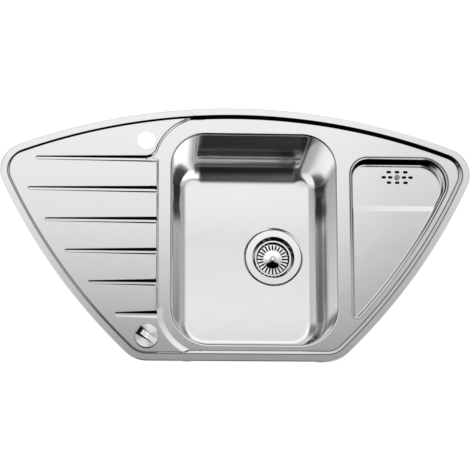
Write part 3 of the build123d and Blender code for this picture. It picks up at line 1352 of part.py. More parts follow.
def make_sound_pads():
    """The damping pads stuck to the bowl's floor and to its long sides."""
    under = FLOOR_TOP - SHEET
    right = WASTE_X - RECESS_DIAMETER / 2 - RECESS_RUN - BOWL_EDGE_RADIUS
    floor_pad = block(
        (right - FLOOR_PAD_WIDTH, WASTE_Y - FLOOR_PAD_LENGTH / 2, under - PAD),
        (right, WASTE_Y + FLOOR_PAD_LENGTH / 2, under),
    )
    slope = math.tan(math.radians(BOWL_DRAFT))
    middle_z = DECK_TOP - BOWL_DEPTH / 2
    inset = BOWL_EDGE_RADIUS - SHEET + (DECK_TOP - SHEET - middle_z) * slope
    reach = BOWL_WIDTH / 2 - inset + PAD / 2 / math.cos(math.radians(BOWL_DRAFT))
    pads = [floor_pad]
    for side in (-1, 1):
        pad = Rot(0, side * BOWL_DRAFT, 0) * Box(PAD, PAD_LENGTH, PAD_HEIGHT)
        pads.append(Pos(BOWL_X + side * reach, BOWL_Y, middle_z) * pad)
    return Compound(pads)


# ---------------------------------------------------------------- write the parts


def main():
    parts = {
        "deck_sheet": make_deck_sheet(),
        "main_bowl": make_main_bowl(),
        "side_tray": make_side_tray(),
        "rim_seal": make_rim_seal(),
        "clip_brackets": at_clips(clip_bracket),
        "clip_claws": at_clips(lambda _: clip_claw()),
        "clip_bolts": at_clips(lambda _: clip_bolt()),
        "clip_nuts": at_clips(lambda _: clip_nut()),
        "sound_pads": make_sound_pads(),
        "strainer_cup": make_strainer_cup(),
        "cup_gasket": make_cup_gasket(),
        "bowl_gasket": make_bowl_gasket(),
        "cup_screws": make_cup_screws(),
        "waste_body": make_waste_body(),
        "lift_pin": make_lift_pin(),
        "crank_shaft": make_crank_shaft(),
        "crank_lever": make_crank_lever(),
        "crank_seal": make_crank_seal(),
        "crank_cover": make_crank_cover(),
        "strainer_basket": make_strainer_basket(),
        "basket_knob": make_basket_knob(),
        "basket_stem": make_basket_stem(),
        "basket_seal": make_basket_seal(),
        "control_knob": make_control_knob(),
        "knob_bezel": make_knob_bezel(),
        "knob_gasket": make_knob_gasket(),
        "knob_nut": make_knob_nut(),
        "knob_housing": make_knob_housing(),
        "housing_cover": make_housing_cover(),
        "cable_drum": make_cable_drum(),
        "drum_screw": make_drum_screw(),
        "control_cable": make_control_cable(),
        "cable_ferrules": make_cable_ferrules(),
        "overflow_screw": make_overflow_screw(),
        "overflow_gasket": make_overflow_gasket(),
        "overflow_housing": make_overflow_housing(),
        "overflow_pipe": make_overflow_pipe(),
        "overflow_nuts": make_overflow_nuts(),
        "overflow_washers": make_overflow_washers(),
    }
    os.makedirs("parts", exist_ok=True)
    for name, part in parts.items():
        export_step(part, f"parts/{name}.step")
        print(name, len(part.solids()), "solids", round(part.volume), "mm3")


if __name__ == "__main__":
    main()
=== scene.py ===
"""The looks of a corner kitchen sink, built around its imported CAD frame.

The frame's origin is the middle of the deck's outline, on the worktop's surface. +X is to the
user's right, +Y towards the corner of the room and +Z up. Shapes are worked out in millimetres
and turned into metres when their meshes are made.
"""

import logging
import math
from collections import Counter
from dataclasses import dataclass, field
from enum import Enum
from typing import ClassVar

import bpy
import numpy as np
from mathutils import Matrix, Vector
from mathutils.geometry import delaunay_2d_cdt

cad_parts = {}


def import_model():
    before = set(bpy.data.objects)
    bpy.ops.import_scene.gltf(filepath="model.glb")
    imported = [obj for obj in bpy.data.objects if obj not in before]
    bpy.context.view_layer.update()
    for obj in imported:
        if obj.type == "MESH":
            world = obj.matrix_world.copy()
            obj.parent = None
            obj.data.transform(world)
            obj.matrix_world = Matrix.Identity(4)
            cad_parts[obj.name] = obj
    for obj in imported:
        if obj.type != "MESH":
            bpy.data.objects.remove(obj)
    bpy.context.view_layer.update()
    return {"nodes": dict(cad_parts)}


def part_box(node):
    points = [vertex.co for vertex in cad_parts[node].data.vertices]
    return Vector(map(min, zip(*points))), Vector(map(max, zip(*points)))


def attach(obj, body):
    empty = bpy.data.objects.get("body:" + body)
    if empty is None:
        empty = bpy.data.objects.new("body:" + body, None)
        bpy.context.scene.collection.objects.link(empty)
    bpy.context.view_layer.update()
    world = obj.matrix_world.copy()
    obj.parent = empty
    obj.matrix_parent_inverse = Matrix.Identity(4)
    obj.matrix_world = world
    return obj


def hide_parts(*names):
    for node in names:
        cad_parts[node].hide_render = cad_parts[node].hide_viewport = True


LOG = logging.getLogger("sink")
MM = 0.001
SHEET = 0.9  # the thickness of the pressed steel, in millimetres
SHADE_LAYER = "crease"  # the name of the mesh layer that carries the painted dark reflections along the bends
TINY = 1e-12  # stands in for a zero that something is divided by

Point = tuple[float, float]  # in plan
Place = tuple[float, float, float]
Tree = bpy.types.NodeTree
Socket = bpy.types.NodeSocket


# ---------------------------------------------------------------- measures from the frame


@dataclass(frozen=True)
class Span:
    """The box of a CAD node, in millimetres."""

    low: Place
    high: Place

    @classmethod
    def of(cls, node: str) -> "Span":
        """The box of a named node of the frame."""
        low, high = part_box(node)
        return cls(tuple(v / MM for v in low), tuple(v / MM for v in high))

    @property
    def middle(self) -> Place:
        """The box's middle."""
        return tuple((a + b) / 2 for a, b in zip(self.low, self.high))


def polar(centre: Point, radius: float, degrees: float) -> Point:
    """The point at an angle on a circle."""
    angle = math.radians(degrees)
    return (centre[0] + radius * math.cos(angle), centre[1] + radius * math.sin(angle))


def heading(start: Point, end: Point) -> float:
    """The direction from one point to another, in degrees."""
    return math.degrees(math.atan2(end[1] - start[1], end[0] - start[0]))


def circle_crossing(a: Point, radius_a: float, b: Point, radius_b: float) -> Point:
    """Where two circles cross, to the left of the way from a to b."""
    dx, dy = b[0] - a[0], b[1] - a[1]
    gap = math.hypot(dx, dy)
    along = (radius_a**2 - radius_b**2 + gap**2) / (2 * gap)
    across = math.sqrt(radius_a**2 - along**2)
    return (a[0] + (along * dx - across * dy) / gap, a[1] + (along * dy + across * dx) / gap)


def soft_min(a: np.ndarray, b: np.ndarray, blend: float) -> np.ndarray:
    """The lower of two heights, with the corner between them rounded over a blend."""
    near = np.maximum(blend - np.abs(a - b), 0.0) / blend
    return np.minimum(a, b) - near * near * blend / 4


def soft_max(a: np.ndarray, b: np.ndarray, blend: float) -> np.ndarray:
    """The higher of two heights, with the corner between them rounded over a blend."""
    return -soft_min(-a, -b, blend)


def smooth_step(low: float, high: float, value: np.ndarray) -> np.ndarray:
    """0 below low, 1 above high and a smooth rise between them."""
    t = np.clip((value - low) / (high - low), 0.0, 1.0)
    return t * t * (3 - 2 * t)


def unit(vectors: np.ndarray) -> np.ndarray:
    """Each row brought to a length of 1."""
    return vectors / np.linalg.norm(vectors, axis=1)[:, None]


def with_z(plan: np.ndarray, z: float) -> np.ndarray:
    """Points or directions in plan, all given the same Z."""
    return np.column_stack([plan, np.full(len(plan), z)])


def within(points: np.ndarray, loop: np.ndarray) -> np.ndarray:
    """Which points lie inside a closed loop."""
    after = np.roll(loop, -1, axis=0)
    x, y = points[:, 0][:, None], points[:, 1][:, None]
    crosses = (loop[:, 1] > y) != (after[:, 1] > y)
    run = after[:, 1] - loop[:, 1]
    run = np.where(np.abs(run) < TINY, TINY, run)
    at = loop[:, 0] + (y - loop[:, 1]) * (after[:, 0] - loop[:, 0]) / run
    return (np.sum(crosses & (x < at), axis=1) % 2) == 1


# ---------------------------------------------------------------- outlines


@dataclass(frozen=True)
class Bend:
    """A convex arc of an outline, from one angle to another, in degrees."""

    centre: Point
    radius: float
    start: float
    end: float


@dataclass
class Outline:
    """A closed convex outline of arcs, with straight lines where two arcs don't meet."""

    bends: list[Bend]
    check_spacing: ClassVar[float] = 2.0  # between the points by which holds() tells in from out

    def ring(self, inset: float, step: float) -> tuple[np.ndarray, np.ndarray]:
        """Points round the outline once it is moved inwards.

        Args:
            inset: how far inwards the outline is moved.
            step: the wanted spacing, measured on the outline that isn't moved, so that the
                rings of different insets have the same make-up.

        Returns:
            The points, and the outward direction at each of them.
        """
        points: list[Point] = []
        ways: list[Point] = []
        for index, bend in enumerate(self.bends):
            turn = bend.end - bend.start
            count = max(4, round(math.radians(abs(turn)) * bend.radius / step))
            for k in range(count + 1):
                degrees = bend.start + turn * k / count
                points.append(polar(bend.centre, bend.radius - inset, degrees))
                ways.append(polar((0.0, 0.0), 1.0, degrees))
            after = self.bends[(index + 1) % len(self.bends)]
            start = polar(bend.centre, bend.radius, bend.end)
            end = polar(after.centre, after.radius, after.start)
            gap = math.dist(start, end)
            if gap < step / 10:
                points.pop()
                ways.pop()
                continue
            inner_start = polar(bend.centre, bend.radius - inset, bend.end)
            inner_end = polar(after.centre, after.radius - inset, after.start)
            pieces = max(1, round(gap / step))
            for k in range(1, pieces):
                t = k / pieces
                points.append(tuple(a + (b - a) * t for a, b in zip(inner_start, inner_end)))
                ways.append(ways[-1])
        return np.array(points), np.array(ways)

    def holds(self, points: np.ndarray, inset: float = 0.0) -> np.ndarray:
        """Which points lie inside the outline, moved inwards by the inset."""
        ring, _ = self.ring(inset, self.check_spacing)
        return within(points, ring)


@dataclass
class DeckOutline(Outline):
    """The sink's outline: a curved back, two bowed sides and a short straight front."""

    bends: list[Bend] = field(default_factory=list)
    back_arc_radius: float = 1215.0
    side_arc_radius: float = 1150.0
    back_corner_radius: float = 57.0
    front_corner_radius: float = 60.0
    front_sharp_width: float = 398.0

    def __post_init__(self) -> None:
        """Works the arcs out from the deck's box."""
        span = Span.of("deck_sheet")
        self.half_width = (span.high[0] - span.low[0]) / 2
        self.half_depth = (span.high[1] - span.low[1]) / 2
        self.back_centre = (0.0, self.half_depth - self.back_arc_radius)
        corner_x = self.half_width - self.back_corner_radius
        reach = self.back_arc_radius - self.back_corner_radius
        corner_y = self.back_centre[1] + math.sqrt(reach**2 - corner_x**2)
        self.back_corner = (corner_x, corner_y)
        sharp = (self.front_sharp_width / 2, -self.half_depth)
        self.side_centre = circle_crossing(
            sharp,
            self.side_arc_radius,
            self.back_corner,
            self.side_arc_radius - self.back_corner_radius,
        )
        front_y = -self.half_depth + self.front_corner_radius
        front_reach = self.side_arc_radius - self.front_corner_radius
        front_x = self.side_centre[0] + math.sqrt(
            front_reach**2 - (front_y - self.side_centre[1]) ** 2
        )
        self.front_corner = (front_x, front_y)
        self.back_turn = heading(self.back_centre, self.back_corner)
        self.side_high = heading(self.side_centre, self.back_corner)
        self.side_low = heading(self.side_centre, self.front_corner)
        self.bends = self.arcs()

    def mirrored(self, point: Point) -> Point:
        """The point on the other side of the sink's centre line."""
        return (-point[0], point[1])

    def arcs(self) -> list[Bend]:
        """The outline's arcs, anticlockwise from the right side."""
        back, high, low = self.back_turn, self.side_high, self.side_low
        side, corner = self.side_arc_radius, self.back_corner_radius
        front = self.front_corner_radius
        return [
            Bend(self.side_centre, side, low, high),
            Bend(self.back_corner, corner, high, back),
            Bend(self.back_centre, self.back_arc_radius, back, 180 - back),
            Bend(self.mirrored(self.back_corner), corner, 180 - back, 180 - high),
            Bend(self.mirrored(self.side_centre), side, 180 - high, 180 - low),
            Bend(self.mirrored(self.front_corner), front, 180 - low, 270),
            Bend(self.front_corner, front, 270, 360 + low),
        ]

    def depth(self, x: np.ndarray, y: np.ndarray) -> np.ndarray:
        """How far inside the outline each point lies."""
        across = np.abs(x)
        result = self.back_arc_radius - np.hypot(x, y - self.back_centre[1])
        side = self.side_arc_radius - np.hypot(across - self.side_centre[0], y - self.side_centre[1])
        result = np.minimum(result, side)
        result = np.minimum(result, y + self.half_depth)
        corners = (
            (self.back_corner, self.back_corner_radius, self.side_high, self.back_turn),
            (self.front_corner, self.front_corner_radius, -90.0, self.side_low),
        )
        for centre, radius, low, high in corners:
            dx, dy = across - centre[0], y - centre[1]
            angle = np.degrees(np.arctan2(dy, dx))
            inside = (angle >= low) & (angle <= high)
            result = np.where(inside, radius - np.hypot(dx, dy), result)
        return result

    def beside(self, x: np.ndarray, y: np.ndarray) -> np.ndarray:
        """0 where the curved back is the nearest edge and 1 where a side or the front is."""
        back = self.back_arc_radius - np.hypot(x, y - self.back_centre[1])
        side = self.side_arc_radius - np.hypot(
            np.abs(x) - self.side_centre[0], y - self.side_centre[1]
        )
        return smooth_step(-25.0, 25.0, back - np.minimum(side, y + self.half_depth))

    def left_edge(self, y: float, inset: float) -> float:
        """How far left the outline reaches at a Y, once it is moved inwards."""
        radius = self.side_arc_radius - inset
        side = -self.side_centre[0] - math.sqrt(radius**2 - (y - self.side_centre[1]) ** 2)
        back_radius = self.back_arc_radius - inset
        back = -math.sqrt(back_radius**2 - (y - self.back_centre[1]) ** 2)
        return max(side, back)


@dataclass
class BowlOutline(Outline):
    """The bowl's rim: a rectangle with rounder corners at the front."""

    bends: list[Bend] = field(default_factory=list)
    back_radius: float = 71.0
    front_radius: float = 80.0

    def __post_init__(self) -> None:
        """Works the corners out from the bowl's box."""
        span = Span.of("main_bowl")
        left, front, _ = span.low
        right, back, _ = span.high
        self.back_left = (left + self.back_radius, back - self.back_radius)
        self.back_right = (right - self.back_radius, back - self.back_radius)
        self.front_left = (left + self.front_radius, front + self.front_radius)
        self.front_right = (right - self.front_radius, front + self.front_radius)
        self.bends = [
            Bend(self.back_right, self.back_radius, 0, 90),
            Bend(self.back_left, self.back_radius, 90, 180),
            Bend(self.front_left, self.front_radius, 180, 270),
            Bend(self.front_right, self.front_radius, 270, 360),
        ]


@dataclass
class TrayOutline(Outline):
    """The tray's rim: a bowed triangle with rounded corners."""

    deck: DeckOutline | None = None
    bends: list[Bend] = field(default_factory=list)
    margin: float = 33.5  # from the sink's outline to the tray's bowed side
    back_left_radius: float = 35.0
    back_right_radius: float = 50.0
    tip_radius: float = 9.0

    def __post_init__(self) -> None:
        """Works the arcs out from the tray's box and the sink's side."""
        span = Span.of("side_tray")
        left, back = span.low[0], span.high[1]
        centre = self.deck.side_centre
        side = self.deck.side_arc_radius - self.margin
        back_left = (left + self.back_left_radius, back - self.back_left_radius)
        right_y = back - self.back_right_radius
        reach = side - self.back_right_radius
        right_x = centre[0] + math.sqrt(reach**2 - (right_y - centre[1]) ** 2)
        back_right = (right_x, right_y)
        tip_x = left + self.tip_radius
        tip_reach = side - self.tip_radius
        tip = (tip_x, centre[1] - math.sqrt(tip_reach**2 - (tip_x - centre[0]) ** 2))
        low = heading(centre, tip)
        high = heading(centre, back_right)
        self.bends = [
            Bend(centre, side, low, high),
            Bend(back_right, self.back_right_radius, high, 90),
            Bend(back_left, self.back_left_radius, 90, 180),
            Bend(tip, self.tip_radius, 180, 360 + low),
        ]


# ---------------------------------------------------------------- meshes


@dataclass
class Skin:
    """The upper or inner surface of a steel sheet: its points, their normals and its faces."""

    points: np.ndarray
    normals: np.ndarray
    faces: list[tuple[int, ...]]
    crease: np.ndarray | None = None  # how much painted dark reflection each point gets, 0 to 1

    def thickened(self, thickness: float) -> "Skin":
        """A closed sheet: this skin, the same skin below it and walls along its edges."""
        count = len(self.points)
        crease = np.zeros(count) if self.crease is None else self.crease
        below = self.points - self.normals * thickness
        points = [self.points, below]
        normals = [self.normals, -self.normals]
        faces = list(self.faces) + [tuple(count + i for i in reversed(f)) for f in self.faces]
        sides = Counter()
        for face in self.faces:
            for a, b in zip(face, face[1:] + face[:1]):
                sides[(a, b)] += 1
        start = 2 * count
        for a, b in sides:
            if (b, a) in sides:
                continue
            way = np.cross(self.points[b] - self.points[a], self.normals[a])
            length = np.linalg.norm(way)
            if length < 1e-9:
                continue
            points.append(np.array([self.points[b], self.points[a], below[a], below[b]]))
            normals.append(np.repeat((way / length)[None, :], 4, axis=0))
            faces.append((start, start + 1, start + 2, start + 3))
            start += 4
        everything = np.vstack(points)
        # Only the upper skin keeps its painted dark reflections.
        dull = np.concatenate([crease, np.zeros(len(everything) - count)])
        return Skin(everything, np.vstack(normals), faces, dull)

    def build(self, name: str) -> bpy.types.Object:
        """Makes the mesh object, with the skin's own normals."""
        mesh = bpy.data.meshes.new(name)
        mesh.from_pydata((self.points * MM).tolist(), [], self.faces)
        mesh.polygons.foreach_set("use_smooth", [True] * len(mesh.polygons))
        # The mesh layer carries the painted dark reflections.
        if self.crease is not None:
            layer = mesh.attributes.new(SHADE_LAYER, "FLOAT", "POINT")
            layer.data.foreach_set("value", self.crease.tolist())
        mesh.normals_split_custom_set_from_vertices(self.normals.tolist())
        mesh.validate()
        return placed(name, mesh)


def placed(name: str, data: bpy.types.ID) -> bpy.types.Object:
    """Puts a mesh, a lamp or a camera into the scene as a new object."""
    thing = bpy.data.objects.new(name, data)
    bpy.context.scene.collection.objects.link(thing)
    return thing


def filled(points: np.ndarray, loops: list[np.ndarray]) -> tuple[np.ndarray, list[tuple[int, ...]]]:
    """Fills the plane between points with triangles.

    Args:
        points: loose points in the plane.
        loops: closed rings of points whose sides are kept as edges.

    Returns:
        All the points, and the triangles, anticlockwise.
    """
    vertices = [Vector(p) for p in points]
    edges = []
    for loop in loops:
        first = len(vertices)
        vertices.extend(Vector(p) for p in loop)
        size = len(loop)
        edges.extend((first + k, first + (k + 1) % size) for k in range(size))
    out = delaunay_2d_cdt(vertices, edges, [], 0, 1e-4)
    plane = np.array([tuple(v) for v in out[0]])
    triangles = []
    for face in out[2]:
        a, b, c = (plane[i] for i in face)
        area = (b[0] - a[0]) * (c[1] - a[1]) - (b[1] - a[1]) * (c[0] - a[0])
        if abs(area) < 1e-7:
            continue
        triangles.append(tuple(face) if area > 0 else tuple(reversed(face)))
    return plane, triangles


def lofted(rows: int, columns: int, first: int = 0) -> list[tuple[int, int, int, int]]:
    """The faces between closed rings of points that are listed one ring after another."""
    faces = []
    for row in range(rows - 1):
        for k in range(columns):
            after = (k + 1) % columns
            a = first + row * columns
            b = a + columns
            faces.append((a + k, a + after, b + after, b + k))
    return faces


def circle_points(centre: Point, radius: float, count: int) -> np.ndarray:
    """Points evenly spaced round a circle."""
    return np.array([polar(centre, radius, 360 * k / count) for k in range(count)])


# ---------------------------------------------------------------- the pressed deck


@dataclass
class Deck:
    """The pressed deck: its rolled edge, flat rim, raised ledges, drainer and lower land."""

    outline: DeckOutline
    bowl: BowlOutline
    tray: TrayOutline
    rim_top: float = 3.0
    edge_radius: float = 2.1
    edge_bottom: float = 0.3
    rim_flat: float = 14.5
    ledge_top: float = 0.0
    deck_top: float = -3.5
    tap_run: float = 0.95  # how far the tap ledge's edge runs sideways per millimetre it drops
    knob_run: float = 1.5  # the same for the knob ledge's edge, which is the softest
    rim_run: float = 0.9  # the same for the step inside the rim at the back
    side_rim_run: float = 1.2  # the same for the step inside the rim at the sides and the front
    tap_ledge_land: float = 33.0
    knob_ledge_land: float = 24.0
    ledge_corner: float = 20.0
    strip: float = 25.2  # between the bowl and the drainer
    groove_count: int = 6
    drainer_land: float = 98.75  # from the front and back edges to the first and last groove
    groove_width: float = 13.5
    groove_flat: float = 4.5
    groove_back_run: float = 5.0
    groove_shallow: float = 0.8
    groove_margin: float = 36.0
    hole_radius: float = 17.5
    tap_from_bowl: float = 45.9
    tap_from_back: float = 67.5
    turn_length: float = 26.0  # over which the drainer's end turns into the knob ledge's arc
    tap_blend: float = 0.7  # how softly the tap ledge's edge is rounded
    knob_blend: float = 2.2
    groove_blend: float = 0.6
    rim_blend: float = 0.8
    side_rim_blend: float = 0.45
    gloss_slope: float = 0.13  # the steepest slope by which the side rim's step gleams
    line: float = 1.15  # half the width of the painted dark lines along the rim's step
    line_tone: float = 0.9  # how dark those lines are
    sharp: tuple[float, float] = (0.12, 0.4)  # per mm; between these bends the painted dark reflection comes in
    bend_reach: float = 0.7  # how far round a point its bend is measured
    slope_reach: float = 0.04  # the same for its slope
    side_band: float = 30.0  # how far inwards the side rim's step is looked for
    knob_calm: float = 0.8  # how far the knob ledge's edge gleams as the side rim's step does
    knob_gloss: float = 0.85  # how much of its painted dark line the soft knob ledge loses
    end_line: float = 0.45  # how much of it is left where the grooves run out onto the land
    back_line: float = 0.6  # how much of it is left on a groove's steep back slope
    front_line: float = 0.05  # and on its gentle front slope
    back_slopes: tuple[float, float] = (0.1, 0.45)  # a groove's back is painted dark between these slopes
    tray_land: float = 1.8  # how far round the tray the deck's edge is painted dark
    tip_tone: float = 0.25  # how dark it is at the tray's tip
    back_tone: float = 0.65  # how much darker it gets towards the tray's back
    spacing: float = 4.0  # between the points along the outline
    hole_spacing: float = 3.0  # the same round the bowl and the tray
    hole_points: int = 72  # round a tap or knob hole
    cell: float = 4.0  # a cell of the plan that holds a row's point gets no loose one
    spread: float = 9.0  # between the loose points

    def __post_init__(self) -> None:
        """Works out the places of the drainer, the ledges and the holes."""
        left = Span.of("main_bowl").low[0]
        self.drainer_right = left - self.strip
        half_depth = self.outline.half_depth
        self.first_groove = half_depth - self.drainer_land
        self.pitch = 2 * self.first_groove / (self.groove_count - 1)
        self.tap = (left - self.tap_from_bowl, half_depth - self.tap_from_back)
        knob = Span.of("knob_bezel").middle
        self.knob = (knob[0], knob[1])
        self.tap_radius = self.bowl.back_radius + self.tap_ledge_land
        self.knob_radius = self.bowl.front_radius + self.knob_ledge_land
        centre = self.bowl.back_left
        corner_y = self.first_groove + self.ledge_corner
        reach = self.tap_radius + self.ledge_corner
        corner_x = centre[0] - math.sqrt(reach**2 - (corner_y - centre[1]) ** 2)
        self.corner = (corner_x, corner_y)
        self.meet = heading(self.corner, centre)

    def land_depth(self, x: np.ndarray, y: np.ndarray) -> np.ndarray:
        """How far inside the lower land each point lies, measured from the ledges' edges."""
        tap, knob = self.bowl.back_left, self.bowl.front_left
        to_tap = self.tap_radius - np.hypot(x - tap[0], y - tap[1])
        to_tap = np.where(x > tap[0], np.maximum(to_tap, x - tap[0]), to_tap)
        to_knob = self.knob_radius - np.hypot(x - knob[0], y - knob[1])
        to_knob = np.where(x > knob[0], np.maximum(to_knob, x - knob[0]), to_knob)
        strip = x - self.drainer_right
        front = smooth_step(0.0, self.turn_length, knob[1] - y)
        depth = np.minimum(strip * (1 - front) + to_knob * front, strip)
        depth = np.where(front >= 1, to_knob, depth)
        # The tap ledge's edge turns in an S from the first groove's back edge to the arc
        # round the bowl's corner.
        from_corner = np.hypot(x - self.corner[0], y - self.corner[1]) - self.ledge_corner
        angle = np.degrees(np.arctan2(y - self.corner[1], x - self.corner[0]))
        in_turn = (angle < self.meet) & (angle > -90.0)
        above = np.degrees(np.arctan2(y - tap[1], x - tap[0]))
        over_tap = (above > 0) & (above < 180 + self.meet) | ((x > tap[0]) & (y > tap[1]))
        over_tap |= (above < 180 + self.meet - 360)
        upper = np.where(in_turn & ~over_tap, np.maximum(from_corner, strip), to_tap)
        beside = np.where(x < self.corner[0], strip, upper)
        beside = np.where(over_tap, to_tap, beside)
        limit = self.first_groove - self.groove_back_run - self.groove_flat / 2
        return np.where(y > limit, beside, depth)

    def groove(self, index: int) -> Point:
        """The left end and the back edge of a drainer groove, counted from the tap ledge."""
        back = self.first_groove - index * self.pitch
        return self.outline.left_edge(back - self.groove_width / 2, self.groove_margin), back

    def groove_height(self, index: int, x: np.ndarray, y: np.ndarray) -> np.ndarray:
        """The height of a drainer groove's floor and of its sloping sides carried upwards."""
        left, back = self.groove(index)
        front = back - self.groove_width
        drop = self.ledge_top - self.deck_top
        fall = (drop - self.groove_shallow) / (self.drainer_right - left)
        before = self.drainer_right - x
        floor = self.deck_top + np.where(before > 0, before * fall, -before)
        front_run = self.groove_width - self.groove_flat - self.groove_back_run
        low_back = back - self.groove_back_run
        low_front = front + front_run
        end_radius = (low_back - low_front) / 2
        end_x = left + self.groove_width / 2
        middle = (low_back + low_front) / 2
        past = np.maximum(end_x - x, 0.0)
        off = y - middle
        outside = np.hypot(past, off) - end_radius
        sideways = np.where(past > 0, off / np.maximum(np.hypot(past, off), 1e-9), np.sign(off))
        steep, gentle = drop / self.groove_back_run, drop / front_run
        slope = gentle + (steep - gentle) * (sideways + 1) / 2
        return floor + np.maximum(outside, 0.0) * slope

    def pressed(self, x: np.ndarray, y: np.ndarray) -> np.ndarray:
        """The height of the ledges, the drainer and the land, without the rim."""
        knob_side = self.knob_side(y)
        blend = self.tap_blend + (self.knob_blend - self.tap_blend) * knob_side
        run = self.tap_run + (self.knob_run - self.tap_run) * knob_side
        ledge = np.full_like(x, self.ledge_top)
        land = self.ledge_top - self.land_depth(x, y) / run
        base = soft_min(ledge, soft_max(land, np.full_like(x, self.deck_top), blend), blend)
        for index in range(self.groove_count):
            base = soft_min(base, self.groove_height(index, x, y), self.groove_blend)
        return base

    def rim_slope(self, x: np.ndarray, y: np.ndarray) -> np.ndarray:
        """How far the step inside the rim runs sideways for each millimetre it drops."""
        return self.rim_run + (self.side_rim_run - self.rim_run) * self.outline.beside(x, y)

    def height(self, x: np.ndarray, y: np.ndarray) -> np.ndarray:
        """The height of the deck's upper surface."""
        base = self.pressed(x, y)
        beside = self.outline.beside(x, y)
        run = self.rim_slope(x, y)
        blend = self.rim_blend + (self.side_rim_blend - self.rim_blend) * beside
        rim = self.rim_top - (self.outline.depth(x, y) - self.rim_flat) / run
        rim_top = np.full_like(x, self.rim_top)
        return soft_min(soft_max(base, rim, blend), rim_top, blend)

    def knob_side(self, y: np.ndarray) -> np.ndarray:
        """0 towards the tap and 1 towards the knob."""
        return smooth_step(-10.0, 20.0, self.bowl.front_left[1] - y)

    def normals(self, x: np.ndarray, y: np.ndarray) -> np.ndarray:
        """The upward normals of the deck's surface."""
        reach = self.slope_reach
        slope_x = (self.height(x + reach, y) - self.height(x - reach, y)) / (2 * reach)
        slope_y = (self.height(x, y + reach) - self.height(x, y - reach)) / (2 * reach)
        # The step inside the rim at the sides gleams as if it were shallower.
        at_side = self.outline.beside(x, y) * (self.outline.depth(x, y) < self.side_band)
        at_side = np.maximum(at_side, self.knob_calm * self.knob_side(y))
        steep = np.maximum(np.hypot(slope_x, slope_y) / self.gloss_slope, 1.0)
        steep = 1 + (steep - 1) * at_side
        slope_x, slope_y = slope_x / steep, slope_y / steep
        normal = np.stack([-slope_x, -slope_y, np.ones_like(x)], axis=1)
        return unit(normal)

    def creases(self, x: np.ndarray, y: np.ndarray) -> np.ndarray:
        """The painted dark reflections: full where the sheet is bent the sharpest, and along the rim's
        step and round the tray.
        """
        reach = self.bend_reach
        around = self.height(x + reach, y) + self.height(x - reach, y)
        around += self.height(x, y + reach) + self.height(x, y - reach)
        bend = np.abs(around - 4 * self.height(x, y)) / reach**2
        line = smooth_step(*self.sharp, bend) * (1 - self.knob_gloss * self.knob_side(y))
        at_end = np.abs(x - self.drainer_right - 1.5) < 4.5
        line = np.where(at_end & (y < self.first_groove - 8), line * self.end_line, line)
        line = self.groove_lines(line, x, y)
        around_tray = self.tray.holds(np.column_stack([x, y]), -self.tray_land)
        towards_back = smooth_step(-110.0, 60.0, y)
        line = np.maximum(line, around_tray * (self.tip_tone + self.back_tone * towards_back))
        return np.maximum(line * self.past_rim(x, y), self.rim_lines(x, y))

    def groove_lines(self, line: np.ndarray, x: np.ndarray, y: np.ndarray) -> np.ndarray:
        """Paints the steep back slopes of the grooves dark and clears their gentle front slopes of the
        painted dark.
        """
        reach = self.bend_reach
        slope = np.abs(self.height(x, y + reach) - self.height(x, y - reach)) / (2 * reach)
        dark = smooth_step(*self.back_slopes, slope)
        for index in range(self.groove_count):
            left, back = self.groove(index)
            foot = back - self.groove_back_run - 1.0
            along = (x > left - 2) & (x < self.drainer_right + 4)
            steep = along & (y > foot) & (y < back + 1.0)
            gentle = along & (y <= foot) & (y > back - self.groove_width - 2.0)
            line = np.where(steep, np.maximum(line * self.back_line, dark), line)
            line = np.where(gentle, line * self.front_line, line)
        return line

    def past_rim(self, x: np.ndarray, y: np.ndarray) -> np.ndarray:
        """1 inside the foot of the rim's step and 0 over the rim."""
        return smooth_step(0.5, 2.0, self.outline.depth(x, y) - self.rim_foot(x, y))

    def rim_foot(self, x: np.ndarray, y: np.ndarray) -> np.ndarray:
        """How far inside the outline the foot of the rim's step lies."""
        return self.rim_flat + (self.rim_top - self.pressed(x, y)) * self.rim_slope(x, y)

    def rim_lines(self, x: np.ndarray, y: np.ndarray) -> np.ndarray:
        """The painted dark step at the back, and the two painted dark lines along it at the sides."""
        depth = self.outline.depth(x, y)
        foot = self.rim_foot(x, y)
        narrow, wide = self.line * 0.5, self.line * 1.4
        top_line = 1 - smooth_step(narrow, wide, np.abs(depth - self.rim_flat - 0.3))
        low_line = 1 - smooth_step(narrow, wide, np.abs(depth - foot + 0.3))
        lines = np.maximum(top_line, low_line) * self.line_tone
        step = smooth_step(-0.6, 0.2, depth - self.rim_flat) * smooth_step(-0.6, 0.2, foot - depth)
        beside = self.outline.beside(x, y)
        # The step is painted faint between its lines, a little darker at the right, dark by the knob.
        between = 0.1 + 0.3 * smooth_step(100.0, 250.0, x)
        knob_corner = smooth_step(-150.0, -158.0, x) * smooth_step(-90.0, -170.0, y)
        sides = np.maximum(lines, step * np.maximum(between, 0.9 * knob_corner))
        return step * (1 - beside) + sides * beside

    def rim_points(self) -> list[np.ndarray]:
        """Rows of points that follow the outline over the rim and its inward step."""
        insets = [4.5, 8.0, 11.5]
        insets += list(np.arange(self.rim_flat - 1.2, self.rim_flat + 10.0, 0.4))
        insets += [26.5, 29.0]
        return [self.outline.ring(inset, self.spacing)[0] for inset in insets]

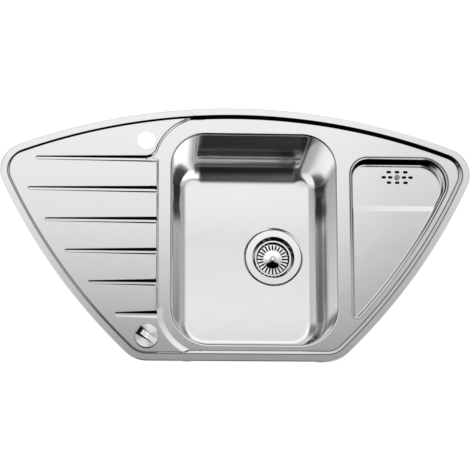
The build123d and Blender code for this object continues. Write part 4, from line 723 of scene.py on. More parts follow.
    def ledge_points(self) -> list[np.ndarray]:
        """Rows of points along the ledges' edges."""
        rows = []
        tap, knob = self.bowl.back_left, self.bowl.front_left
        knob_start = 180 - math.degrees(math.asin(-0.2))
        for offset in np.arange(-1.2, 6.4, 0.6):
            turns = np.arange(92.0, 180 + self.meet, 1.6)
            rows.append(np.array([polar(tap, self.tap_radius - offset, t) for t in turns]))
            turns = np.arange(-90.0, self.meet, 5.0)
            rows.append(np.array([polar(self.corner, self.ledge_corner + offset, t) for t in turns]))
            steps = np.arange(knob[1] - 24.0, self.first_groove, 3.0)
            rows.append(np.array([(self.drainer_right + offset, y) for y in steps]))
        for offset in np.arange(-5.4, 11.0, 0.8):
            turns = np.arange(knob_start, 272.0, 1.2)
            rows.append(np.array([polar(knob, self.knob_radius - offset, t) for t in turns]))
        return rows

    def groove_points(self) -> list[np.ndarray]:
        """Rows of points along the drainer's grooves, closer at their closed ends."""
        rows = []
        for index in range(self.groove_count):
            left, back = self.groove(index)
            near = np.arange(left - 1.0, left + 14.0, 1.0)
            far = np.arange(left + 16.0, self.drainer_right + 6.0, 4.0)
            xs = np.concatenate([near, far])
            for y in np.arange(back - self.groove_width - 0.6, back + 1.4, 0.55):
                rows.append(np.array([(x, y) for x in xs]))
        return rows

    def points(self) -> tuple[np.ndarray, list[np.ndarray]]:
        """All the plan's points: the loose ones, and the loops round the sheet and its holes."""
        loops = [
            self.outline.ring(self.edge_radius, self.spacing)[0],
            self.bowl.ring(0.0, self.hole_spacing)[0],
            self.tray.ring(0.0, self.hole_spacing)[0],
            circle_points(self.tap, self.hole_radius, self.hole_points),
            circle_points(self.knob, self.hole_radius, self.hole_points),
        ]
        rows = self.rim_points() + self.ledge_points() + self.groove_points()
        for hole in (self.bowl, self.tray):
            rows += [hole.ring(-grow, self.hole_spacing)[0] for grow in (1.5, 4.0, 8.0)]
        for centre in (self.tap, self.knob):
            for grow in (0.7, 2.0, 4.5):
                rows.append(circle_points(centre, self.hole_radius + grow, self.hole_points))
        half_width, half_depth = self.outline.half_width, self.outline.half_depth
        xs = np.arange(-half_width, half_width, self.spread)
        ys = np.arange(-half_depth, half_depth, self.spread)
        taken = np.vstack(rows)
        cells = {(x // self.cell, y // self.cell) for x, y in taken}
        grid = [(x, y) for x in xs for y in ys]
        free = [(x, y) for x, y in grid if (x // self.cell, y // self.cell) not in cells]
        loose = np.vstack([taken, np.array(free)])
        inside = self.outline.depth(loose[:, 0], loose[:, 1]) > self.edge_radius + 0.8
        for hole in (self.bowl, self.tray):
            inside &= ~hole.holds(loose, -0.8)
        for centre in (self.tap, self.knob):
            away = np.hypot(loose[:, 0] - centre[0], loose[:, 1] - centre[1])
            inside &= away > self.hole_radius + 0.4
        return loose[inside], loops

    def skin(self) -> Skin:
        """The deck's upper surface with its rolled edge."""
        loose, loops = self.points()
        plane, triangles = filled(loose, loops)
        middles = np.array([plane[list(t)].mean(axis=0) for t in triangles])
        kept = self.outline.depth(middles[:, 0], middles[:, 1]) > self.edge_radius - 0.2
        for hole in (self.bowl, self.tray):
            kept &= ~hole.holds(middles)
        for centre in (self.tap, self.knob):
            away = np.hypot(middles[:, 0] - centre[0], middles[:, 1] - centre[1])
            kept &= away > self.hole_radius * 0.998
        faces = [t for t, keep in zip(triangles, kept) if keep]
        heights = self.height(plane[:, 0], plane[:, 1])
        points = np.column_stack([plane, heights])
        normals = self.normals(plane[:, 0], plane[:, 1])
        crease = self.creases(plane[:, 0], plane[:, 1])
        places = {(round(x, 2), round(y, 2)): i for i, (x, y) in enumerate(plane)}
        inner, _ = self.outline.ring(self.edge_radius, self.spacing)
        top = [places[(round(x, 2), round(y, 2))] for x, y in inner]
        rows, row_normals = self.rolled_edge()
        first, size = len(points), len(inner)
        for k in range(size):
            after = (k + 1) % size
            faces.append((top[after], top[k], first + k, first + after))
        for a, b, c, d in lofted(len(rows), size, first):
            faces.append((b, a, d, c))
        crease = np.concatenate([crease, np.zeros(len(rows) * size)])
        everything, directions = np.vstack([points] + rows), np.vstack([normals] + row_normals)
        return Skin(everything, directions, faces, crease)

    def rolled_edge(self) -> tuple[list[np.ndarray], list[np.ndarray]]:
        """The rings of the edge that is rolled over towards the worktop, and their normals."""
        rings, normals = [], []
        for turn in np.linspace(0, 90, 8)[1:]:
            angle = math.radians(turn)
            inset = self.edge_radius * (1 - math.sin(angle))
            ring, ways = self.outline.ring(inset, self.spacing)
            rings.append(with_z(ring, self.rim_top - self.edge_radius * (1 - math.cos(angle))))
            normals.append(with_z(ways * math.sin(angle), math.cos(angle)))
        rings.append(with_z(rings[-1][:, :2], self.edge_bottom))
        normals.append(normals[-1])
        return rings, normals

    def build(self, finish: "Finish") -> None:
        """Makes the deck and dresses it."""
        thing = self.skin().thickened(SHEET).build("pressed_deck")
        dress(thing, finish, "sink", "deck_sheet")


# ---------------------------------------------------------------- the bowl and the tray


@dataclass
class Bowl:
    """The deep-drawn bowl: rounded edge, slightly sloping walls, round floor and waste recess."""

    outline: BowlOutline
    top: float = -3.5
    edge_radius: float = 5.0
    draft: float = 3.0
    depth: float = 165.0
    floor_radius: float = 28.0
    gloss_tilt: float = 40.0  # degrees; the steepest tilt by which the side walls gleam
    back_floor_radius: float = 50.0  # drawn wider than the solid's, as the photograph shows
    right_floor_radius: float = 36.0
    recess_radius: float = 58.0
    recess_run: float = 3.0
    recess_depth: float = 2.5
    hole_radius: float = 45.0
    fall: tuple[float, float] = (0.02, 0.04)  # how far the floor's normals lean to the waste
    fall_reach: float = 120.0  # how far from the waste that lean is full
    spacing: float = 3.0

    def lean(self) -> float:
        """How far the wall leans inwards for each millimetre of depth."""
        return math.tan(math.radians(self.draft))

    @property
    def back_part(self) -> float:
        """The Y beyond which the back wall and its corners lie."""
        return self.outline.back_left[1] - 20

    def profile(self) -> list[tuple[float, float, float]]:
        """The wall from the rim to the floor: inset, height and tilt of the normal in degrees."""
        lean = self.lean()
        upright = 90 - self.draft
        floor = self.top - self.depth

        def wall(level: float) -> float:
            """The inset of the straight wall at a level."""
            return self.edge_radius + (self.top - level) * lean

        rows = []
        centre_z = self.top - self.edge_radius
        centre = wall(centre_z) - self.edge_radius / math.cos(math.radians(self.draft))
        for turn in np.linspace(0, upright, 12):
            angle = math.radians(turn)
            inset = centre + self.edge_radius * math.sin(angle)
            rows.append((inset, centre_z + self.edge_radius * math.cos(angle), turn))
        rows[0] = (0.0, self.top, 0.0)
        centre_z = floor + self.floor_radius
        start = rows[-1][1]
        for level in np.linspace(start, centre_z, 14)[1:-1]:
            rows.append((wall(level), level, upright))
        centre = wall(centre_z) + self.floor_radius / math.cos(math.radians(self.draft))
        for turn in np.linspace(upright, 0, 26):
            angle = math.radians(turn)
            inset = centre - self.floor_radius * math.sin(angle)
            rows.append((inset, centre_z - self.floor_radius * math.cos(angle), turn))
        return rows

    def skin(self) -> Skin:
        """The bowl's inner surface."""
        waste = Span.of("strainer_cup").middle[:2]
        points, normals = self.wall_rings()
        columns = len(points[-1])
        floor_points, floor_normals = self.floor_rings(points[-1][:, :2], waste)
        points += floor_points
        faces = lofted(len(points), columns)
        everything = np.vstack(points)
        directions = self.fallen(everything, np.vstack(normals + floor_normals), waste)
        return Skin(everything, directions, faces, self.creases(everything))

    def wall_rings(self) -> tuple[list[np.ndarray], list[np.ndarray]]:
        """The rings from the rim to the edge of the flat floor, and their normals."""
        floor = self.top - self.depth
        points, normals = [], []
        flat, ways = self.outline.ring(0.0, self.spacing)
        wider = (self.back_floor_radius - self.floor_radius) * np.maximum(ways[:, 1], 0.0) ** 3
        wider += (self.right_floor_radius - self.floor_radius) * np.maximum(ways[:, 0], 0.0) ** 3
        bend_top = floor + self.floor_radius
        for inset, level, turn in self.profile():
            # Below the straight wall the bend is drawn out to its wider radius.
            share = 1 + wider / self.floor_radius if level < bend_top + 0.01 else np.ones(len(ways))
            above = (level - floor) * share
            bend_inset = self.edge_radius + (self.depth - self.floor_radius * share) * self.lean()
            fixed = self.edge_radius + (self.depth - self.floor_radius) * self.lean()
            insets = np.where(share > 1, bend_inset + (inset - fixed) * share, inset)
            points.append(np.column_stack([flat - ways * insets[:, None], floor + above]))
            # The side walls and the corners gleam as if they leaned more than they do.
            sideways = smooth_step(0.18, 0.3, np.abs(ways[:, 0]))
            angle = np.radians(turn + (min(turn, self.gloss_tilt) - turn) * sideways)
            normals.append(np.column_stack([-ways * np.sin(angle)[:, None], np.cos(angle)]))
        return points, normals

    def floor_rings(self, last: np.ndarray, waste: Point) -> tuple[list[np.ndarray], list[np.ndarray]]:
        """The rings over the floor and down into the waste's recess.

        Args:
            last: the wall's last ring, in plan.
            waste: the middle of the waste.

        Returns:
            The rings, and their normals.
        """
        floor = self.top - self.depth
        points, normals = [], []
        way = unit(last - np.array(waste))
        outer = self.recess_radius + self.recess_run + 3.0
        for t in (0.2, 0.45, 0.7, 1.0):
            ring = last * (1 - t) + (np.array(waste) + way * outer) * t
            points.append(with_z(ring, floor))
            normals.append(with_z(np.zeros_like(ring), 1.0))
        radii = np.linspace(outer, self.recess_radius - 2.0, 12)[1:]
        middle = self.recess_radius + self.recess_run / 2
        reach = self.recess_run / 2 + 1.2
        for radius in list(radii) + [52.0, self.hole_radius]:
            t = float(smooth_step(middle - reach, middle + reach, np.array(radius)))
            u = min(max((radius - middle + reach) / (2 * reach), 0.0), 1.0)
            slope = self.recess_depth * 6 * u * (1 - u) / (2 * reach)
            points.append(with_z(np.array(waste) + way * radius, floor - self.recess_depth * (1 - t)))
            normals.append(unit(with_z(-way * slope, 1.0)))
        return points, normals

    def fallen(self, points: np.ndarray, normals: np.ndarray, waste: Point) -> np.ndarray:
        """Lets the floor's normals lean towards the waste, as the floor falls slightly to it."""
        share = smooth_step(0.8, 1.0, normals[:, 2]) * (points[:, 2] < self.top - self.depth / 2)
        to_waste = (np.array(waste) - points[:, :2]) / self.fall_reach
        lean = normals.copy()
        lean[:, 0] += self.fall[0] * np.clip(to_waste[:, 0], -1, 1) * share
        lean[:, 1] += self.fall[1] * np.clip(to_waste[:, 1], -0.3, 1) * share
        return unit(lean)

    def creases(self, points: np.ndarray) -> np.ndarray:
        """The rolled edge's painted dark line, and painted dark streaks of reflection on the walls."""
        drop = self.top - points[:, 2]
        x, y = points[:, 0], points[:, 1]
        line = smooth_step(0.05, 0.35, drop) * (1 - smooth_step(0.8, 2.4, drop))
        back = smooth_step(self.outline.back_left[1] - 20, self.outline.back_left[1] + 50, y)
        rolled = line * (0.45 + 0.5 * back)
        # The painted dark on the back wall, and on the bend below it.
        left, right = self.outline.back_left[0] - 16, self.outline.back_right[0] + 34 - 0.22 * drop
        between = smooth_step(-3, 3, x - left) * smooth_step(-4, 4, right - x) * (y > self.back_part)
        wall = smooth_step(1.0, 4.0, drop) * (1 - smooth_step(98.0, 118.0, drop)) * 0.5
        bend = smooth_step(141.0, 148.0, drop) * (1 - smooth_step(158.0, 163.5, drop)) * 0.8
        # The painted dark streaks along the side walls; the upper left one fades towards the front.
        middle = (self.outline.back_left[0] + self.outline.back_right[0]) / 2
        beside = (y < self.back_part) & (drop > 4)
        left_wall = beside & (x < middle)
        right_wall = beside & (x > middle)
        streak = smooth_step(-70, -20, y) * left_wall * self.streak(drop, 30.0, 22.0) * 0.75
        for part, depth, half, tone in (
            (left_wall, 112.0, 12.0, 0.4),
            (right_wall, 150.0, 10.0, 0.55),
            (right_wall, 120.0, 14.0, 0.3),
        ):
            streak += part * self.streak(drop, depth, half) * tone
        return np.clip(rolled + between * (wall + bend) + streak, 0, 1)

    def streak(self, drop: np.ndarray, middle: float, half: float) -> np.ndarray:
        """1 at a depth and 0 further than half the streak's width from it."""
        return 1 - smooth_step(0.3, 1.0, np.abs(drop - middle) / half)

    def build(self, finish: "Finish") -> None:
        """Makes the bowl and dresses it."""
        thing = self.skin().thickened(SHEET).build("drawn_bowl")
        dress(thing, finish, "sink", "main_bowl")


@dataclass
class Tray:
    """The side tray: a deep back with the overflow slots and a shallow, narrow front."""

    outline: TrayOutline
    top: float = -3.5
    edge_radius: float = 3.0
    draft: float = 5.0
    shallow: float = 13.0
    deep: float = 28.0
    deep_length: float = 103.8
    step_run: float = 11.0
    step_blend: float = 2.0
    gloss_slope: float = 0.2  # the steepest slope by which the step's reflection is turned
    slope_reach: float = 0.05  # how far round a point its slope is measured
    step_rows: float = 0.8  # between the rows of points over the step
    floor_rows: float = 6.0  # between the rows elsewhere
    row_points: float = 4.0  # between the points of a row
    edge_gap: float = 0.7  # from the loose points to the wall and the slots
    floor_radius: float = 3.5
    slot_length: float = 9.5
    slot_width: float = 5.5
    row_pitch: float = 10.9
    outer_pitch: float = 16.7
    inner_near: float = 13.9
    inner_far: float = 27.0
    screw_hole: float = 5.6
    spacing: float = 2.5

    def __post_init__(self) -> None:
        """Works out the places of the step and the overflow."""
        self.step_y = Span.of("side_tray").high[1] - self.deep_length
        screw = Span.of("overflow_screw").middle
        self.overflow = (screw[0], screw[1])

    def floor(self, y: np.ndarray) -> np.ndarray:
        """The level of the tray's floor at a Y."""
        high = np.full_like(y, self.top - self.shallow)
        low = np.full_like(y, self.top - self.deep)
        slope = (self.deep - self.shallow) / self.step_run
        ramp = self.top - self.shallow - (y - self.step_y) * slope
        return soft_min(high, soft_max(ramp, low, self.step_blend), self.step_blend)

    def slots(self) -> list[np.ndarray]:
        """The loops of the ten overflow slots and of the screw's hole between them."""
        columns, rows = (-1, 0, 1), (-1, 1)
        places = [(c * self.outer_pitch, r * self.row_pitch) for r in rows for c in columns]
        near, far = self.inner_near, self.inner_far
        places += [(x, 0.0) for x in (-far, -near, near, far)]
        loops = []
        radius = self.slot_width / 2
        straight = (self.slot_length - self.slot_width) / 2
        for dx, dy in places:
            centre = (self.overflow[0] + dx, self.overflow[1] + dy)
            right = [polar((centre[0] + straight, centre[1]), radius, t) for t in range(-90, 91, 15)]
            left = [polar((centre[0] - straight, centre[1]), radius, t) for t in range(90, 271, 15)]
            loops.append(np.array(right + left))
        loops.append(circle_points(self.overflow, self.screw_hole / 2, 24))
        return loops

    def wall_rows(self, floor: np.ndarray) -> list[tuple[np.ndarray, np.ndarray, float]]:
        """The rings from the rim to the floor.

        Args:
            floor: the floor's level at each point of a ring.

        Returns:
            Each ring's inset and level at its points, and the tilt of its normals in degrees.
        """
        lean = math.tan(math.radians(self.draft))
        upright = 90 - self.draft
        cosine = math.cos(math.radians(self.draft))

        def wall(level: np.ndarray | float) -> np.ndarray | float:
            """The inset of the straight wall at a level."""
            return self.edge_radius + (self.top - level) * lean

        even = np.ones(len(floor))
        rows = [(0.0 * even, self.top * even, 0.0)]
        centre_z = self.top - self.edge_radius
        centre = wall(centre_z) - self.edge_radius / cosine
        for turn in np.linspace(0, upright, 9)[1:]:
            angle = math.radians(turn)
            inset = centre + self.edge_radius * math.sin(angle)
            level = centre_z + self.edge_radius * math.cos(angle)
            rows.append((inset * even, level * even, turn))
        start = rows[-1][1]
        end = floor + self.floor_radius
        for t in np.linspace(0, 1, 8)[1:-1]:
            level = start + (end - start) * t
            rows.append((wall(level), level, upright))
        centre = wall(end) + self.floor_radius / cosine
        for turn in np.linspace(upright, 0, 9):
            angle = math.radians(turn)
            inset = centre - self.floor_radius * math.sin(angle)
            rows.append((inset, end - self.floor_radius * math.cos(angle), turn))
        return rows

    def skin(self) -> Skin:
        """The tray's inner surface."""
        flat, ways = self.outline.ring(0.0, self.spacing)
        points, normals = [], []
        for inset, level, turn in self.wall_rows(self.floor(flat[:, 1])):
            angle = math.radians(turn)
            points.append(np.column_stack([flat - ways * inset[:, None], level]))
            normals.append(with_z(-ways * math.sin(angle), math.cos(angle)))
        size = len(flat)
        first = (len(points) - 1) * size
        inner = points[-1][:, :2]
        floor_faces, extra = self.floor_faces(inner, first)
        faces = lofted(len(points), size) + floor_faces
        points.append(np.column_stack([extra, self.floor(extra[:, 1])]))
        normals.append(self.floor_normals(extra[:, 1]))
        everything, directions = np.vstack(points), np.vstack(normals)
        directions[first : first + size] = self.floor_normals(inner[:, 1])
        return Skin(everything, directions, faces, self.creases(everything, directions))

    def floor_faces(
        self, inner: np.ndarray, first: int
    ) -> tuple[list[tuple[int, ...]], np.ndarray]:
        """Fills the floor between the wall's last ring and the slots.

        Args:
            inner: the wall's last ring, in plan.
            first: the number of that ring's first point.

        Returns:
            The floor's faces, and the plan of the points that they add after that ring.
        """
        loops = [inner] + self.slots()
        plane, triangles = filled(self.floor_points(inner, loops[1:]), loops)
        places = {(round(x, 3), round(y, 3)): first + k for k, (x, y) in enumerate(inner)}
        index, extra = [], []
        for x, y in plane:
            known = places.get((round(x, 3), round(y, 3)))
            if known is None:
                known = first + len(inner) + len(extra)
                extra.append((x, y))
            index.append(known)
        middles = np.array([plane[list(t)].mean(axis=0) for t in triangles])
        kept = within(middles, inner)
        for loop in loops[1:]:
            kept &= ~within(middles, loop)
        faces = [tuple(index[i] for i in t) for t, keep in zip(triangles, kept) if keep]
        return faces, np.array(extra)

    def creases(self, points: np.ndarray, normals: np.ndarray) -> np.ndarray:
        """The painted dark band of the steep walls, strong round the deep part and faint at the tip.
        """
        drop = self.top - points[:, 2]
        steep = 1 - smooth_step(0.6, 0.999, normals[:, 2])
        deep = smooth_step(self.step_y - 130.0, self.step_y + 10.0, points[:, 1])
        right = smooth_step(0.3, 0.6, -normals[:, 0])
        edge = 1 - right * smooth_step(5.5, 9.0, drop)
        return steep * (0.3 + 0.7 * deep) * edge

    def floor_normals(self, y: np.ndarray) -> np.ndarray:
        """The upward normals of the tray's floor at each Y."""
        reach = self.slope_reach
        slope = (self.floor(y + reach) - self.floor(y - reach)) / (2 * reach)
        slope = np.clip(slope, -self.gloss_slope, self.gloss_slope)
        normal = np.column_stack([np.zeros_like(y), -slope, np.ones_like(y)])
        return unit(normal)

    def floor_points(self, inner: np.ndarray, holes: list[np.ndarray]) -> np.ndarray:
        """Loose points over the floor, in close rows where it steps down."""
        low, high = inner.min(axis=0), inner.max(axis=0)
        step = np.arange(self.step_y - 3.0, self.step_y + self.step_run + 3.0, self.step_rows)
        rest = np.arange(low[1] + 3.0, high[1], self.floor_rows)
        rows = np.concatenate([step, [y for y in rest if y < step[0] - 2 or y > step[-1] + 2]])
        columns = np.arange(low[0] + 1.0, high[0], self.row_points)
        points = np.array([(x, y) for y in rows for x in columns])
        kept = within(points, inner)
        for point_loop in [inner] + holes:
            gaps = np.linalg.norm(points[:, None, :] - point_loop[None, :, :], axis=2).min(axis=1)
            kept &= gaps > self.edge_gap
        for hole in holes:
            kept &= ~within(points, hole)
        return points[kept]

    def build(self, finish: "Finish") -> None:
        """Makes the tray and dresses it."""
        thing = self.skin().thickened(SHEET).build("pressed_tray")
        dress(thing, finish, "sink", "side_tray")


# ---------------------------------------------------------------- finishes


def linear(colour: str) -> tuple[float, float, float, float]:
    """The linear colour of an sRGB hex string such as #c8c8c4."""
    parts = [int(colour[i : i + 2], 16) / 255 for i in (1, 3, 5)]
    values = [v / 12.92 if v <= 0.04045 else ((v + 0.055) / 1.055) ** 2.4 for v in parts]
    return (*values, 1.0)


def add_node(tree: Tree, kind: str, inputs: dict | None = None, **settings: object) -> bpy.types.Node:
    """Adds a node to a tree.

    Args:
        tree: the tree that gets the node.
        kind: the node's type.
        inputs: for each input, by name or number, the value it is set to or the socket that
            feeds it.
        settings: the node's own settings.

    Returns:
        The new node.
    """
    node = tree.nodes.new(kind)
    for name, value in settings.items():
        setattr(node, name, value)
    for name, value in (inputs or {}).items():
        if isinstance(value, Socket):
            tree.links.new(value, node.inputs[name])
        else:
            node.inputs[name].default_value = value
    return node


def new_material(name: str) -> bpy.types.Material:
    """A material with an empty node tree."""
    material = bpy.data.materials.new(name)
    material.use_nodes = True
    material.node_tree.nodes.clear()
    return material


@dataclass(frozen=True)
class Finish:
    """A finish of the sink's pieces, with its slot in the record."""

    slot: str
    colour: str
    roughness: float

    def material(self) -> bpy.types.Material:
        """The finish's material, made once."""
        name = f"{type(self).__name__}_{self.slot}_{self.colour[1:]}_{self.roughness}"
        found = bpy.data.materials.get(name)
        if found:
            return found
        material = new_material(name)
        tree = material.node_tree
        place = add_node(tree, "ShaderNodeTexCoord")
        shader = self.shader(tree, place.outputs["Object"])
        add_node(tree, "ShaderNodeOutputMaterial", {"Surface": shader.outputs[0]})
        return material

    def shader(self, tree: Tree, place: Socket) -> bpy.types.Node:
        """The shader node of the finish."""
        raise NotImplementedError


@dataclass(frozen=True)
class SilkSteel(Finish):
    """Pressed stainless steel with a fine silk gloss: soft reflections, drawn out by the grain."""

    grain: tuple[float, float, float] = (0.02, 1.0, 1.0)  # draws the fine lines out along X
    dull: str = "#161616"  # the painted dark reflection on the marked bends
    line: float = 0.6  # mm; the real lines are about a tenth of this, too fine to draw
    wave: float = 60.0  # mm; how far apart the sheet's slight hollows lie
    unevenness: float = 0.15  # the share by which the roughness changes from line to line

    def shader(self, tree: Tree, place: Socket) -> bpy.types.Node:
        """Metal with faint brushing lines, the slight waviness of a pressed sheet and painted dark
        reflections on the marked bends.
        """
        stretch = add_node(tree, "ShaderNodeMapping", {"Vector": place, "Scale": self.grain})
        fine = {"Vector": stretch.outputs[0], "Scale": 1 / (self.line * MM), "Detail": 2.0}
        lines = add_node(tree, "ShaderNodeTexNoise", fine)
        coarse = {"Vector": place, "Scale": 1 / (self.wave * MM), "Detail": 1.0}
        waves = add_node(tree, "ShaderNodeTexNoise", coarse)
        # The roughness changes a little from line to line, as brushing leaves it.
        gloss = {
            "Value": lines.outputs[0],
            "From Min": 0.3,
            "From Max": 0.7,
            "To Min": self.roughness * (1 - self.unevenness),
            "To Max": self.roughness * (1 + self.unevenness),
        }
        rough = add_node(tree, "ShaderNodeMapRange", gloss)
        hollows = {"Height": waves.outputs[0], "Strength": 0.12, "Distance": 0.001}
        hollow = add_node(tree, "ShaderNodeBump", hollows)
        # The marked bends get a painted dark reflection, in the base colour and in the specular tint.
        crease = add_node(tree, "ShaderNodeAttribute", attribute_name=SHADE_LAYER)
        colours = {"Factor": crease.outputs["Fac"], 6: linear(self.colour), 7: linear(self.dull)}
        colour = add_node(tree, "ShaderNodeMix", colours, data_type="RGBA")
        tints = {"Factor": crease.outputs["Fac"], 6: (1, 1, 1, 1), 7: linear(self.dull)}
        painted_dark_tint = add_node(tree, "ShaderNodeMix", tints, data_type="RGBA")
        scratches = {
            "Height": lines.outputs[0],
            "Strength": 0.02,
            "Distance": 0.00002,
            "Normal": hollow.outputs[0],
        }
        brushed = add_node(tree, "ShaderNodeBump", scratches)
        steel = {
            "Base Color": colour.outputs[2],
            "Metallic": 1.0,
            "Roughness": rough.outputs[0],
            "Specular Tint": painted_dark_tint.outputs[2],
            "Normal": brushed.outputs[0],
        }
        return add_node(tree, "ShaderNodeBsdfPrincipled", steel)


@dataclass(frozen=True)
class PlatedMetal(Finish):
    """Polished, plated or turned metal: clear reflections with a faint unevenness."""

    speck: float = 3.0  # mm
    unevenness: float = 0.2  # the share by which the roughness goes up and down

    def shader(self, tree: Tree, place: Socket) -> bpy.types.Node:
        """Metal whose gloss changes a little from place to place."""
        metal = {
            "Base Color": linear(self.colour),
            "Metallic": 1.0,
            "Roughness": self.gloss(tree, place),
        }
        return add_node(tree, "ShaderNodeBsdfPrincipled", metal)

    def gloss(self, tree: Tree, place: Socket) -> Socket:
        """The roughness, a little higher or lower from speck to speck."""
        specks = {"Vector": place, "Scale": 1 / (self.speck * MM), "Detail": 3.0}
        cloud = add_node(tree, "ShaderNodeTexNoise", specks)
        levels = {
            "Value": cloud.outputs[0],
            "To Min": self.roughness * (1 - self.unevenness),
            "To Max": self.roughness * (1 + self.unevenness),
        }
        return add_node(tree, "ShaderNodeMapRange", levels).outputs[0]


@dataclass(frozen=True)
class TurnedMetal(PlatedMetal):
    """Polished metal in a hollow, with painted shade on its steep faces and its low ones."""

    shade: str = "#0c0c0c"
    floor: float = -1.0  # m; below this level everything is painted dark as shade
    fade: float = 0.004  # m; how far below it the dark is full
    fan: Point | None = None  # m; the middle of the painted fan-shaped highlights, if it has any
    fan_tone: str = "#d2d2d2"  # the colour of the darker painted fans
    pool: tuple[float, float, float, float] | None = None  # m; an oval painted dark as the knob's reflection: its middle and sizes
    metal: float = 1.0  # how metallic it looks: a satin finish scatters some light

    def shader(self, tree: Tree, place: Socket) -> bpy.types.Node:
        """Metal with painted shade on its steep faces and its bottom and, on a turned face, painted
        fans of highlight.
        """
        facing = add_node(tree, "ShaderNodeNewGeometry")
        up = add_node(tree, "ShaderNodeSeparateXYZ", {0: facing.outputs["Normal"]})
        # Steep faces, and faces below the floor level, get painted shade.
        leaning = {"Value": up.outputs["Z"], "From Min": 0.93, "From Max": 0.8}
        steep = add_node(tree, "ShaderNodeMapRange", leaning)
        split = add_node(tree, "ShaderNodeSeparateXYZ", {0: place})
        below = {
            "Value": split.outputs["Z"],
            "From Min": self.floor,
            "From Max": self.floor - self.fade,
        }
        low = add_node(tree, "ShaderNodeMapRange", below)
        either = {0: steep.outputs[0], 1: low.outputs[0]}
        dark = add_node(tree, "ShaderNodeMath", either, operation="MAXIMUM")
        if self.pool:
            either = {0: dark.outputs[0], 1: self.oval(tree, place)}
            dark = add_node(tree, "ShaderNodeMath", either, operation="MAXIMUM")
        tones = {"Factor": dark.outputs[0], 6: linear(self.colour), 7: linear(self.shade)}
        if self.fan:
            tones[6] = self.fans(tree, place)
        tone = add_node(tree, "ShaderNodeMix", tones, data_type="RGBA")
        metal = {
            "Base Color": tone.outputs[2],
            "Metallic": self.metal,
            "Roughness": self.gloss(tree, place),
            "Specular Tint": tone.outputs[2],
        }
        return add_node(tree, "ShaderNodeBsdfPrincipled", metal)

    def oval(self, tree: Tree, place: Socket) -> Socket:
        """1 in the oval where the knob's reflection in the dished face is painted dark."""
        x, y, wide, high = self.pool
        shrink = {
            "Vector": place,
            "Location": (-x / wide, -y / high, 0),
            "Scale": (1 / wide, 1 / high, 0),
        }
        centred = add_node(tree, "ShaderNodeMapping", shrink)
        away = add_node(tree, "ShaderNodeVectorMath", {0: centred.outputs[0]}, operation="LENGTH")
        edge = {"Value": away.outputs["Value"], "From Min": 1.05, "From Max": 0.85}
        return add_node(tree, "ShaderNodeMapRange", edge).outputs[0]

    def fans(self, tree: Tree, place: Socket) -> Socket:
        """Painted light and slightly darker fans of highlight round the middle of a turned face."""
        shift = {"Vector": place, "Location": (-self.fan[0], -self.fan[1], 0.0)}
        centred = add_node(tree, "ShaderNodeMapping", shift)
        round_it = {"Vector": centred.outputs[0]}
        turn = add_node(tree, "ShaderNodeTexGradient", round_it, gradient_type="RADIAL")
        # Two painted light and two painted darker fans in each full turn.
        twice = {0: turn.outputs["Fac"], 1: 4 * math.pi, 2: -0.6}
        wave = add_node(tree, "ShaderNodeMath", twice, operation="MULTIPLY_ADD")
        swell = add_node(tree, "ShaderNodeMath", {0: wave.outputs[0]}, operation="SINE")
        tone = add_node(tree, "ShaderNodeValToRGB", {"Fac": swell.outputs[0]})
        tone.color_ramp.elements[0].position = 0.0
        tone.color_ramp.elements[0].color = linear(self.fan_tone)
        tone.color_ramp.elements[1].position = 0.7
        tone.color_ramp.elements[1].color = linear(self.colour)
        return tone.outputs[0]


@dataclass(frozen=True)
class Moulded(Finish):
    """Moulded plastic, rubber, foam or bitumen: dull, with a fine grain from the mould."""

    grain: float = 0.8  # mm
    depth: float = 0.02  # mm
    mottle: float = 0.06  # how much darker the hollows of the grain are painted, as shade

    def shader(self, tree: Tree, place: Socket) -> bpy.types.Node:
        """A dull surface whose grain shows as slight hollows, with painted shade in them as darker
        specks.
        """
        specks = {"Vector": place, "Scale": 1 / (self.grain * MM), "Detail": 4.0}
        cloud = add_node(tree, "ShaderNodeTexNoise", specks)
        shade = tuple(v * (1 - self.mottle) for v in linear(self.colour)[:3])
        tone = add_node(tree, "ShaderNodeValToRGB", {"Fac": cloud.outputs[0]})
        tone.color_ramp.elements[0].position = 0.35
        tone.color_ramp.elements[0].color = (*shade, 1.0)
        tone.color_ramp.elements[1].position = 0.6
        tone.color_ramp.elements[1].color = linear(self.colour)
        hollows = {"Height": cloud.outputs[0], "Strength": 0.3, "Distance": self.depth * MM}
        bump = add_node(tree, "ShaderNodeBump", hollows)
        skin = {
            "Base Color": tone.outputs[0],
            "Roughness": self.roughness,
            "Normal": bump.outputs[0],
        }
        return add_node(tree, "ShaderNodeBsdfPrincipled", skin)


# Pressed stainless steel, polished to a silk gloss: its mirror images have soft edges.
SILK_STEEL = SilkSteel("silk_steel", "#dddddd", 0.12)
# The same steel deep-drawn, which roughens it: softer mirror images, and a paler colour that paints
# the bowl lighter than the deck.
BOWL_STEEL = SilkSteel("silk_steel", "#e8e8e8", 0.15)
# Turned stainless steel: clear and bright, on small parts.
POLISHED_STEEL = PlatedMetal("polished_steel", "#dddddd", 0.12)
# Drawn stainless steel down in the waste: bright above, painted grey at the bottom and on its steep
# faces as shade.
CUP_STEEL = TurnedMetal("polished_steel", "#efefef", 0.14, shade="#a8a8a8", floor=-0.197)
# Dished stainless steel: bright, with a painted dark reflection of its knob and painted shade on its
# steep faces and bottom.
BASKET_STEEL = TurnedMetal(
    "polished_steel", "#f4f4f4", 0.16, floor=-0.193, pool=(0.0874, -0.0215, 0.0145, 0.0078)
)
# Chrome plate on brass: the clearest mirror.
BRIGHT_CHROME = PlatedMetal("bright_chrome", "#e6e6e7", 0.06)
# Chrome plate on a screw: grey and dull, with painted shade on its steep faces.
SCREW_CHROME = TurnedMetal("bright_chrome", "#9c9c9c", 0.3)
